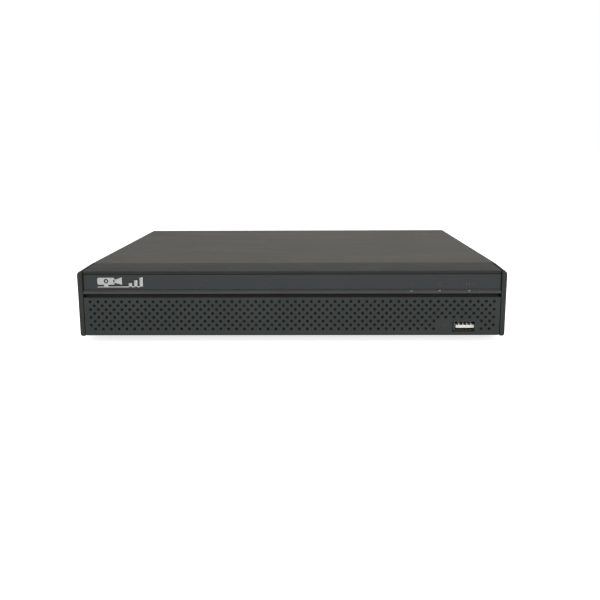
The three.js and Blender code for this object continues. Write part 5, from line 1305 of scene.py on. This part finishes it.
def heat_sink():
    """An extruded heat sink with rounded fins, cut across, held by two sprung pins."""
    low, high = span("heat_sink")
    half, tall, base, fin, count = (high.x - low.x) / 2, high.z - low.z, 3, 1.3, 9
    pitch = (2 * half - fin) / (count - 1)
    outline = [(-half, 0), (half, 0)]
    for i, x in enumerate(reversed(evenly(count, pitch))):
        tip = arc((x, tall - 0.5), 0.5, 0, 180, 5)
        outline += [(x + fin / 2, base)] * (i > 0) + tip + [(x - fin / 2, base)] * (i < count - 1)
    depth = high.y - low.y
    body = placed(prism(outline, 0, depth), (0, high.y, low.z), FACING_FRONT)
    corners = [block((x - 3.4, y - 3.4, low.z + base), (x + 3.4, y + 3.4, high.z + 1))
               for x, y in ((-half + 3, high.y - 3), (half - 3, low.y + 3))]
    cross = block((-half - 1, middle("heat_sink").y - 0.9, low.z + base + 2), (half + 1, middle("heat_sink").y + 0.9, high.z + 1))
    body = eased(carved(body, *corners, cross), 0.12, 1)
    finished("finned_heat_sink", body, FINISHES["aluminium"], ["heat_sink"])
    pins, springs = [], []
    for x, y in ((-half + 3, high.y - 3), (half - 3, low.y + 3)):
        pin = turned([(0, 0), (1.1, 0), (1.1, 6), (2.1, 6.1), (2.1, 6.7), (1.5, 7.2), (0, 7.2)], 20)
        pins.append(placed(pin, (x, y, low.z + base + 0.05)))
        coil = [(1.5 * math.cos(i * 0.5), 1.5 * math.sin(i * 0.5), 0.3 + i * 0.11) for i in range(52)]
        wire = swept([(0.2 * math.cos(a), 0.2 * math.sin(a)) for a in evenly(6, math.tau / 6)],
                     [Vector(p) for p in coil], (0, 0, 1))
        springs.append(placed(wire, (x, y, low.z + base + 0.05)))
    finished("heat_sink_pins", joined(*pins), FINISHES["socket_white"])
    finished("heat_sink_springs", joined(*springs), FINISHES["screw_steel"])


def clock_battery():
    """The button cell in its moulded holder with two retaining fingers and a sprung contact."""
    low, high = span("clock_cell_holder")
    cell_low, cell_high = span("clock_cell")
    centre = middle("clock_cell")
    well = placed(rod(10.2, -2.9, 6, 48), (centre.x, centre.y, high.z))
    tray = carved(block(low, high, 0.4), well, block((centre.x - 4, low.y - 1, low.z + 1.2), (centre.x + 4, low.y + 4, high.z + 1)))
    finger = [block((centre.x - 2.5 + x, centre.y + 8.2, cell_high.z + 0.05), (centre.x + 2.5 + x, high.y - 0.3, cell_high.z + 0.75), 0.2)
              for x in (-5, 5)]
    finished("cell_holder_tray", joined(tray, *finger), FINISHES["socket_black"],
             ["clock_cell_holder"])
    tall = cell_high.z - cell_low.z
    cell = turned([(0, 0), (8.2, 0), (8.5, 0.25), (8.7, 0.6), (9.85, 0.65), (10, 0.85), (10, tall - 0.5),
                   (9.8, tall - 0.12), (9.5, tall), (0, tall)], 56)
    mark = joined(block((-1.6, -0.25, tall - 0.02), (1.6, 0.25, tall + 0.03)),
                  block((-0.25, -1.6, tall - 0.02), (0.25, 1.6, tall + 0.03)))
    finished("button_cell", placed(joined(cell, mark), (centre.x, centre.y, cell_low.z)), FINISHES["nickel"],
             ["clock_cell"])
    spring = block((centre.x - 1.6, low.y + 0.4, cell_high.z + 0.06), (centre.x + 1.6, centre.y - 5, cell_high.z + 0.36), 0.1)
    finished("cell_spring", spring, FINISHES["screw_steel"])


def buzzer():
    """A round sounder with a sound hole, a stepped rim and a peel-off tab's shoulder."""
    low, high = span("buzzer")
    centre, tall = middle("buzzer"), high.z - low.z
    body = turned([(0, 0), (5.7, 0), (6, 0.3), (6, tall - 0.9), (5.6, tall - 0.3), (5.0, tall - 0.25),
                   (4.9, tall), (1.1, tall), (0.95, tall - 0.2), (0.95, tall - 3), (0, tall - 3)], 40)
    finished("sounder", placed(body, (centre.x, centre.y, low.z)), FINISHES["socket_black"],
             ["buzzer"])


# ------------------------------------------------------------------ fan


def fan_frame():
    """The fan's square housing: a round mouth, four screw holes, three struts and the motor's seat."""
    low, high = span("fan_frame")
    centre, half, deep = middle("fan_frame"), (high.z - low.z) / 2, high.x - low.x
    bore, bolt = 14.1, half - 3
    holes = [round_hole(0, 0, bore, 14)] + [round_hole(x * bolt, y * bolt, 1.7, 5) for x in (-1, 1) for y in (-1, 1)]
    mouth = plate((0, 0, 2 * half, 2 * half, 2.2, 5), holes, 2.4, 0.25)
    skirt = plate(round_hole(0, 0, bore + 1.2, 14), [round_hole(0, 0, bore, 14)], deep - 4.7, 0.02)
    back = plate((0, 0, 2 * half, 2 * half, 2.2, 5), holes, 2.4, 0.15)
    parts = [placed(mouth, (0, 0, 0)), placed(skirt, (0, 0, -2.38)), placed(back, (0, 0, 2.4 - deep))]
    finished("fan_housing", placed(joined(*parts), (high.x, centre.y, centre.z), FACING_RIGHT),
             FINISHES["socket_black"], ["fan_frame"])
    struts = [placed(block((5.6, -0.9, 0), (bore + 0.4, 0.9, 1.3), 0.3), facing=Matrix.Rotation(turn, 4, "Z"))
              for turn in (0.5, 0.5 + math.tau / 3, 0.5 + 2 * math.tau / 3)]
    seat = turned([(0, 0), (6.2, 0), (6.4, 0.2), (6.4, 1.3), (0, 1.3)], 32)
    finished("fan_motor_seat", placed(joined(seat, *struts), (high.x - 1.5, centre.y, centre.z), FACING_RIGHT),
             FINISHES["socket_black"])


def fan_rotor():
    """The rotor: a hub with a rounded face and seven pitched, curved blades."""
    low, high = span("fan_rotor")
    centre = middle("fan_frame")
    deep = high.x - low.x
    hub = turned([(0, 0.3), (5.4, 0.3), (6.2, 0.6), (6.4, 1.2), (6.4, deep - 0.4), (6.1, deep - 0.1), (0, deep - 0.1)], 36)
    blades = []
    for i in range(7):
        blade = block((5.9, -3.9, -0.35), (13.2, 3.9, 0.35))
        bmesh.ops.subdivide_edges(blade, edges=[e for e in blade.edges if e.calc_length() > 2], cuts=5,
                                  use_grid_fill=True)
        for v in blade.verts:
            out = (v.co.x - 5.9) / 7.3
            v.co.z += 0.7 * (1 - (v.co.y / 3.9) ** 2)
            v.co.y *= 0.8 + 0.25 * out
            pitch = math.radians(-48 + 16 * out)
            v.co.yz = (v.co.y * math.cos(pitch) - v.co.z * math.sin(pitch) + 0.9 * out ** 2,
                       v.co.y * math.sin(pitch) + v.co.z * math.cos(pitch))
            v.co.z = max(min(v.co.z, deep / 2 - 0.5), 0.5 - deep / 2)
        blades.append(placed(blade, (0, 0, 0), Matrix.Translation((0, 0, deep / 2)) @ Matrix.Rotation(i * math.tau / 7, 4, "Z")))
    placed(hub, facing=Matrix.Identity(4))
    finished("fan_impeller", placed(joined(hub, *blades), (low.x, centre.y, centre.z), FACING_RIGHT),
             FINISHES["socket_black"], ["fan_rotor"], "fan_wheel")


# ------------------------------------------------------------------ disk drive


def drive_lid():
    """The stamped lid: a stepped rim, a raised disc field and arm field, six screws, a blank label."""
    low, high = span("drive_lid")
    centre, size, tall = (low + high) / 2, high - low, high.z - low.z
    base = plate((0, 0, size.x, size.y, 4, 5), [], tall - 0.5, 0.25)
    disc = middle("drive_platters")
    field = turned([(0, 0), (44.5, 0), (44.1, 0.42), (43.6, 0.5), (0, 0.5)], 72)
    ridge = turned([(40, 0.5), (41.5, 0.5), (41.2, 0.62), (40.3, 0.62), (40, 0.5)], 72)
    pivot = middle("drive_arm")
    arm_field = placed(block((-17, -12, 0), (17, 12, 0.5), 0.35, 3), (pivot.x + 14, pivot.y + 6, 0))
    hub = turned([(0, 0.5), (9, 0.5), (8.8, 0.42), (8.6, 0.4), (8.2, 0.42), (8.0, 0.5), (0, 0.5)][:6], 40)
    hub.free()
    parts = [placed(base, (centre.x, centre.y, high.z - 0.5)), placed(field, (disc.x, disc.y, high.z - 0.5)),
             placed(ridge, (disc.x, disc.y, high.z - 0.5)), placed(arm_field, (0, 0, high.z - 0.5))]
    finished("stamped_drive_lid", joined(*parts), LID_STEEL, ["drive_lid"])
    spots = [(x, y) for x in (low.x + 4, high.x - 4) for y in (low.y + 4, high.y - 4)] + \
        [(centre.x, low.y + 3.5), (centre.x + 10, high.y - 3.5)]
    finished("drive_lid_screws", repeated(cross_head(2.4, 0.9), [(x, y, high.z - 0.48) for x, y in spots]),
             FINISHES["screw_steel"])
    label = plate((0, 0, 62, 44, 1.5, 4), [], 0.08, 0.03)
    finished("blank_drive_label", placed(label, (disc.x + 1, disc.y, high.z + 0.09)), LABEL)
    seal = placed(turned([(0, 0), (3.2, 0), (3.2, 0.12), (0, 0.12)], 28), (pivot.x + 18, pivot.y + 8, high.z))
    finished("drive_seal_dot", seal, FINISHES["emblem_silver"])


def drive_board_parts():
    """Chips on the drive's underside board."""
    low, high = span("drive_board")
    x, y = low.x + 30, low.y + 30
    chips = [placed(eased(block((-6, -6, -1.0), (6, 6, 0)), 0.15), (x, y, low.z - 0.02)),
             placed(eased(block((-4, -5, -0.9), (4, 5, 0)), 0.15), (x + 22, y + 18, low.z - 0.02)),
             placed(eased(block((-3, -3, -0.9), (3, 3, 0)), 0.15), (x + 25, y - 12, low.z - 0.02))]
    finished("drive_board_chips", joined(*chips), FINISHES["chip_black"])


# ------------------------------------------------------------------ leads


def wire_section(radius, sides=10):
    return [(radius * math.cos(a), radius * math.sin(a)) for a in evenly(sides, math.tau / sides)]


def flat_section(wide, tall, steps=3):
    """A flat lead's section with half-round edges."""
    half, r = (wide - tall) / 2, tall / 2
    return arc((half, 0), r, -90, 90, steps) + arc((-half, 0), r, 90, 270, steps)


def lead(name, section, points, finish, node):
    """A lead between two plugs of the recorder, swept along a smooth route through the given points."""
    route = smooth_route(points, 6)
    piece = finished(name, swept(section, route, (1, 0, 0) if node != "drive_data_cable" else (0, 1, 0)), finish,
                     [node])
    length = sum((b - a).length for a, b in zip(route, route[1:])) / PER_METRE
    route[0] / PER_METRE
    [p / PER_METRE for p in route]


def lead_plug(name, low, high, slot, rib_axis=0):
    """A moulded plug housing with a latch."""
    low, high = Vector(low), Vector(high)
    body = block(low, high, 0.35)
    ribs = []
    for z in evenly(3, 1.3, high.z - 2.6):
        ribs.append(block((low.x + 1, low.y - 0.0, z - 0.3), (high.x - 1, high.y + 0.0, z + 0.3), 0.12))
    latch = block(((low.x + high.x) / 2 - 1.5, low.y, high.z - 0.2), ((low.x + high.x) / 2 + 1.5, low.y + 1.4, high.z + 0.7), 0.2)
    for rib in ribs:
        rib.free()
    return finished(name, joined(body, latch), FINISHES[slot])


DATA_ROUTE = [(30.9, -6.9, 14.3), (35.5, -6.9, 14.8), (40.9, -2.4, 18.3), (40.9, 13.9, 22.2), (34.75, 22.7, 30.2),
              (28.6, 28.7, 29.2), (28.6, 28.7, 21.2)]
POWER_ROUTE = [(30.9, -30.9, 14.3), (39.1, -30.9, 14.8), (49.9, -21.9, 18.3), (49.9, 1.9, 22.2),
               (49.25, 22.7, 30.2), (48.6, 28.7, 29.2), (48.6, 28.7, 21.2)]
RIBBON_ROUTE = [(103.1, -94.1, 24.3), (103.1, -79.7, 23.3), (103.1, -61.7, 12), (103.1, -30.5, 10),
                (103.1, 10.7, 14), (103.1, 23.7, 27.2), (103.1, 28.7, 25.2), (103.1, 28.7, 21.2)]


def drive_leads():
    """The flat red data lead and the four-wire power lead, with their plugs."""
    plugs = [lead_plug("data_plug_drive", (22.9, -12.9, 11.3), (31.9, -0.9, 17.3), "socket_black"),
             lead_plug("data_plug_board", (22.6, 25.7, 13.2), (34.6, 31.7, 22.2), "socket_black")]
    lead("data_lead", flat_section(5, 1.8), DATA_ROUTE, FINISHES["cable_red"], "drive_data_cable")
    plugs = [lead_plug("power_plug_drive", (22.9, -40.9, 11.3), (31.9, -20.9, 17.3), "socket_black"),
             lead_plug("power_plug_board", (38.6, 25.7, 13.2), (58.6, 31.7, 22.2), "socket_white")]
    lead("power_lead_sleeve", wire_section(2.2, 16), POWER_ROUTE, BRAID, "drive_power_cable")
    ends = []
    for i, finish in enumerate((YELLOW_SLEEVE, BLACK_SLEEVE, BLACK_SLEEVE, RED_SLEEVE)):
        shift = (i - 1.5) * 2.4
        fan = [(48.6 + shift, 28.7, 22.0), (48.6 + shift * 0.95, 28.7, 25.0), (48.6 + shift * 0.3, 28.7, 28.6)]
        ends.append((finish, i, fan))
    for finish, i, fan in ends:
        shape = swept(wire_section(0.75), smooth_route(fan, 5), (1, 0, 0))
        finished(f"power_wire_{i + 1}", shape, finish)


def front_ribbon():
    """The grey ribbon between the main board and the front board."""
    plugs = [lead_plug("ribbon_plug_front", (95.1, -100.1, 21.3), (111.1, -93.1, 27.3), "socket_black"),
             lead_plug("ribbon_plug_board", (95.1, 25.7, 13.2), (111.1, 31.7, 22.2), "socket_black")]
    lead("front_ribbon", flat_section(13, 1), RIBBON_ROUTE, FINISHES["cable_grey"],
         "front_ribbon_cable")


def front_board():
    """The small board behind the front panel, with its fixing holes and a few parts."""
    low, high = span("front_board")
    centre = middle("front_board")
    wide, tall = high.x - low.x, high.z - low.z
    sheet = plate((0, 0, wide, tall, 1, 3), [round_hole(x, y, 1.3) for x in (-wide / 2 + 4, wide / 2 - 4)
                                             for y in (-tall / 2 + 3.5, tall / 2 - 3.5)], high.y - low.y, 0.08)
    finished("front_board_sheet", placed(sheet, (centre.x, high.y, centre.z), FACING_REAR), FINISHES["board_green"],
             ["front_board"])
    parts = [block((x, high.y, z), (x + 2.2, high.y + 0.8, z + 1.2), 0.1)
             for x, z in ((66, 14), (70, 14), (74, 20), (80, 18), (86, 14), (68, 30), (80, 30), (88, 24), (92, 34))]
    finished("front_board_parts", joined(*parts), FINISHES["chip_black"])
# ------------------------------------------------------------------ camera, light and floor


def camera():
    """The lens and place from which the recorder is shown, a little above it and in front."""
    data = bpy.data.cameras.new("camera")
    data.sensor_width, data.lens = 36, 44.352
    made = bpy.data.objects.new("camera", data)
    pitch, yaw, roll = math.radians(-11.6), math.radians(0.85), math.radians(-0.257)
    made.matrix_world = Matrix.Translation(Vector((11.63, -552.88, 116.49)) / PER_METRE) \
        @ Matrix.Rotation(yaw, 4, "Z") @ FACING_FRONT @ Matrix.Rotation(pitch, 4, "X") \
        @ Matrix.Rotation(roll, 4, "Z")
    data.clip_start, data.clip_end = 0.01, 50
    bpy.context.scene.collection.objects.link(made)
    bpy.context.scene.camera = made


def soft_box(name, where, aim, size, power):
    data = bpy.data.lights.new(name, "AREA")
    data.shape, data.size, data.size_y, data.energy = "RECTANGLE", *size, power
    made = bpy.data.objects.new(name, data)
    made.location = where
    made.visible_camera = False
    made.rotation_euler = (Vector(aim) - Vector(where)).to_track_quat("-Z", "Y").to_euler()
    bpy.context.scene.collection.objects.link(made)


def studio_sky():
    """An even white sky."""
    world = bpy.data.worlds.new("studio")
    world.use_nodes = True
    background = world.node_tree.nodes["Background"]
    background.inputs["Color"].default_value = (1, 1, 1, 1)
    background.inputs["Strength"].default_value = 1.0
    bpy.context.scene.world = world


def light_table():
    """A white floor that glows faintly, brightest in front of the recorder's middle."""
    shape = bmesh.new()
    bmesh.ops.create_circle(shape, cap_ends=True, segments=64, radius=12)
    mesh = bpy.data.meshes.new("floor")
    shape.to_mesh(mesh)
    shape.free()
    floor = bpy.data.objects.new("floor", mesh)
    bpy.context.scene.collection.objects.link(floor)
    paper = Finish("white_table", emission_strength=0.84)
    fibre = paper.noise(3, 2)
    spot = paper.node("ShaderNodeVectorMath", {"operation": "LENGTH"},
                      (paper.node("ShaderNodeMapping", None, {"Vector": paper.spot, "Location": (-0.05, 0.35, 0)}),),
                      "Value")
    glow = paper.ranged(spot, 0.05, 0.6)
    mesh.materials.append(paper.shows(base_color=paper.mixed(fibre, grey(0.50), grey(0.52)),
                                      roughness=0.9 + fibre * 0.05,
                                      emission_color=paper.mixed(glow, grey(1.0), grey(0.82))))


def stage():
    """A glowing white table under a white sky, with soft boxes over the top and in front."""
    bpy.context.scene.view_settings.view_transform = "Standard"
    studio_sky()
    light_table()
    soft_box("overhead", (0.06, 0.0, 0.45), (0.05, 0.0, 0), (0.5, 0.5), 2.3)
    soft_box("front", (0.06, -0.75, 0.36), (0.03, -0.1, 0.02), (0.3, 0.3), 2.6)
# ------------------------------------------------------------------ the whole recorder

camera()
stage()

front_bezel()
cheek(-1)
cheek(1)
fascia()
grille()
grille_backing()
emblem()
light_guides()
printed_symbols()
usb_socket("front", FACING_FRONT, "front_usb")

for jack in range(1, 5):
    camera_jack(jack)
audio_jack("audio_in_jack", "socket_white", "audio_in")
audio_jack("audio_out_jack", "socket_red", "audio_out")
monitor_socket()
video_socket()
network_socket()
usb_socket("rear", FACING_REAR, "rear_usb")
terminal_block()
power_jack()
ground_screw()

top_cover()
cover_screws()
feet()
drive_screws()
chassis_details()
rear_marks()

main_board()
board_chips()
board_capacitors()
board_coils()
board_small_parts()
heat_sink()
clock_battery()
buzzer()
fan_frame()
fan_rotor()
drive_lid()
drive_board_parts()
drive_leads()
front_ribbon()
front_board()

for row in frame["record"]["subparts"]:
    if not frame["nodes"][row["node"]].hide_render:
        dressed(row["node"], FINISHES[row["material_slot"]])
